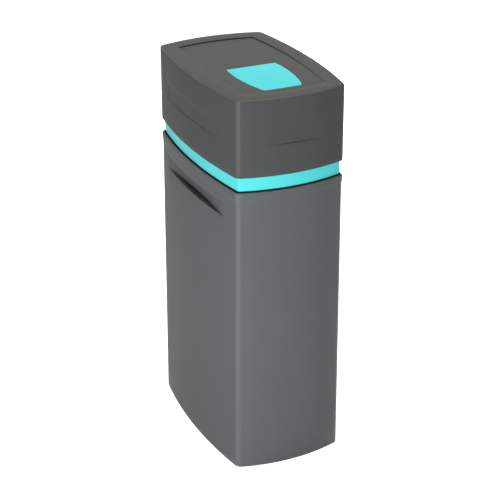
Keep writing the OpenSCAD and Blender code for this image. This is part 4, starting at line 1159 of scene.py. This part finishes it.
@dataclass
class BrineLine(Piece):
    """Smooth bent tube from the brine pick-up to the valve, through the points of its route."""

    route: tuple[Point, ...] = ((78.5, 53.5, 925.0), (78.5, 29.5, 925.0), (80.5, -8.5, 917.0),
                                (86.5, -40.0, 889.0), (112.0, -86.0, 816.0),
                                (109.0, -116.0, 785.0), (108.0, -138.0, 780.0),
                                (108.0, -171.0, 780.0))
    radius: float = 4.75
    steps: int = 8
    sides: int = 24
    fold: float = 50.0

    def middle_line(self) -> list[Vector]:
        """Return the points of the smooth line through the route."""
        p = [Vector(point) * MM for point in self.route]
        line = []
        for i in range(len(p) - 1):
            one = p[i + 1] - p[i] if i == 0 else (p[i + 1] - p[i - 1]) / 2
            two = p[i + 1] - p[i] if i == len(p) - 2 else (p[i + 2] - p[i]) / 2
            for k in range(self.steps):
                t = k / self.steps
                line.append(p[i] * (2 * t ** 3 - 3 * t ** 2 + 1) + one * (t ** 3 - 2 * t ** 2 + t)
                            + p[i + 1] * (3 * t ** 2 - 2 * t ** 3) + two * (t ** 3 - t ** 2))
        return line + [p[-1]]

    def build(self) -> None:
        """Build the tube in place of its node."""
        line = self.middle_line()
        side = Vector((1.0, 0.0, 0.0))
        rings = []
        for i, point in enumerate(line):
            way = (line[min(i + 1, len(line) - 1)] - line[max(i - 1, 0)]).normalized()
            side = (side - way * side.dot(way)).normalized()
            other = way.cross(side)
            rings.append([tuple(point + side * a + other * b)
                          for a, b in circle(self.radius * MM, self.sides)])
        made = skin("brine_tube", rings, fold=self.fold)
        self.hand_over(made, LINE, "cabinet", "line_plastic", ["brine_line"])


@dataclass
class PortThreads(Piece):
    """Bypass block whose inlet and outlet carry one-inch pipe threads.

    Args:
        depth: depth of the groove, and clear how far its bottom is kept out.
        start: depth in the frame where the groove starts.
        run_out: steps over which the groove gets shallow at each end.
        over: how far its cutter stands out over the crests, and half its half width there.
        merge: distance in metres below which the copy's corners are one.
    """

    crest_r: float = 16.62
    pitch: float = 2.309
    depth: float = 1.3
    clear: float = 0.05
    start: float = 276.6
    turns: int = 9
    steps: int = 24
    run_out: int = 6
    over: float = 0.4
    half: float = 0.95
    ports: Pair = (-41.0, 41.0)
    height: float = 925.0
    merge: float = 1e-5
    fold: float = 30.0

    def groove(self, x: float) -> Thing:
        """Make the cutter of one port's thread groove.

        Args:
            x: place of the port.

        Returns:
            The cutter.
        """
        rings = []
        total = self.turns * self.steps
        top = self.crest_r + self.over
        for i in range(total + 1):
            turn = math.tau * i / self.steps
            y = self.start + self.pitch * i / self.steps
            share = min(1.0, i / self.run_out, (total - i) / self.run_out)
            deep = self.crest_r - self.depth * share + self.clear
            rings.append([in_metres(x + r * math.sin(turn), y + dy,
                                    self.height + r * math.cos(turn))
                          for r, dy in ((deep, 0.0), (top, -self.half), (top, self.half))])
        return skin("groove", rings)

    def build(self) -> None:
        """Cut the threads into a merged copy of the bypass block."""
        node = frame["nodes"]["bypass_body"]
        made = bpy.data.objects.new("bypass_block", node.data.copy())
        bpy.context.scene.collection.objects.link(made)
        select(made)
        bpy.ops.object.mode_set(mode="EDIT")
        bpy.ops.mesh.select_all(action="SELECT")
        bpy.ops.mesh.remove_doubles(threshold=self.merge)
        bpy.ops.object.mode_set(mode="OBJECT")
        for x in self.ports:
            work(made, self.groove(x), Join.CUT)
        finish_mesh(made, self.fold)
        self.hand_over(made, VALVE, "cabinet", "valve_plastic", ["bypass_body"])


# Studio

WHITE = (1.0, 1.0, 1.0)
PALE = (0.86, 0.86, 0.86)


def put(name: str, data: bpy.types.ID, place: Point, aim: Point) -> Thing:
    """Put a lamp or a camera in its place and point it.

    Args:
        name: its name.
        data: the lamp's or the camera's data.
        place: where it stands.
        aim: what it points at.

    Returns:
        The new object.
    """
    made = bpy.data.objects.new(name, data)
    bpy.context.scene.collection.objects.link(made)
    made.location = place
    made.rotation_euler = (Vector(aim) - Vector(place)).to_track_quat("-Z", "Y").to_euler()
    return made


@dataclass(frozen=True)
class Lamp:
    """Soft rectangular lamp, with its power in watts."""

    name: str
    place: Point
    aim: Point
    size: Pair
    power: float
    colour: Colour = WHITE

    def hang(self) -> None:
        """Hang the lamp."""
        data = bpy.data.lights.new(self.name, "AREA")
        data.shape = "RECTANGLE"
        data.size, data.size_y = self.size
        data.energy = self.power
        data.color = self.colour
        put(self.name, data, self.place, self.aim)


@dataclass
class Studio:
    """Camera, lamps, floor and world, in metres. The lens and its sensor are in millimetres."""

    eye: Point = (-1.6114, -3.4395, 2.3434)
    aim: Point = (0.0034, 0.0017, 0.5393)
    lens: float = 105.1
    sensor: float = 36.0
    far: float = 200.0
    lamps: tuple[Lamp, ...] = (
        Lamp("front", (-2.29, -2.93, 0.6), (0.0, 0.0, 0.6), (1.0, 0.8), 130.0, (0.98, 1.0, 1.02)),
        Lamp("top", (0.2, 0.4, 3.6), (0.0, 0.0, 1.0), (2.4, 2.4), 116.0, (1.0, 0.99, 0.88)),
        Lamp("back", (2.6, 2.6, 0.7), (0.0, 0.0, 0.6), (1.6, 1.0), 60.0))
    world_level: float = 0.15
    floor_half: float = 30.0
    floor_z: float = -0.0005
    floor_roughness: float = 0.9
    floor_gloss: float = 0.1
    floor_glow: float = 0.82

    def build(self) -> None:
        """Set up everything around the object."""
        self.camera()
        self.world()
        self.floor()
        for lamp in self.lamps:
            lamp.hang()

    def camera(self) -> None:
        """Put the camera at the photograph's viewpoint."""
        data = bpy.data.cameras.new("camera")
        data.lens = self.lens
        data.sensor_width = self.sensor
        data.clip_end = self.far
        bpy.context.scene.camera = put("camera", data, self.eye, self.aim)

    def world(self) -> None:
        """Light the room evenly and show it white."""
        world = bpy.data.worlds.new("room")
        world.use_nodes = True
        bpy.context.scene.world = world
        nodes = Nodes(world.node_tree)
        nodes.feed(world.node_tree.nodes["Background"], {
            "Color": (*WHITE, 1.0), "Strength": nodes.span(nodes.seen(), self.world_level, 1.0)})

    def floor(self) -> None:
        """Lay a plain pale floor that reads white and keeps the shadow."""
        bpy.ops.mesh.primitive_plane_add(size=2 * self.floor_half, location=(0, 0, self.floor_z))
        plane = bpy.context.active_object
        plane.name = "floor"
        paint = bpy.data.materials.new("floor_paint")
        paint.use_nodes = True
        nodes = Nodes(paint.node_tree)
        shader = paint.node_tree.nodes["Principled BSDF"]
        nodes.feed(shader, {"Base Color": (*PALE, 1.0), "Roughness": self.floor_roughness,
                            "Specular IOR Level": self.floor_gloss})
        level = nodes.math("MULTIPLY", nodes.seen(), self.floor_glow)
        glow = nodes.add("ShaderNodeEmission", "Emission", {"Strength": level})
        both = nodes.add("ShaderNodeAddShader", "Shader", {0: shader.outputs["BSDF"], 1: glow})
        nodes.feed(paint.node_tree.nodes["Material Output"], {"Surface": both})
        plane.data.materials.append(paint)


def main() -> None:
    """Dress the frame and build what the CAD leaves to the looks."""
    logging.basicConfig(level=logging.INFO, format="%(message)s")
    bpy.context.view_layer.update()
    bpy.context.scene.view_settings.view_transform = "Standard"
    paint = Paintbox()
    Studio().build()
    paint.dress_nodes(frame["nodes"])
    for maker in (Tank, Collar, Hood, Flap, Display, BrineLine, PortThreads):
        maker(paint).build()


if __name__ == "__main__":
    main()
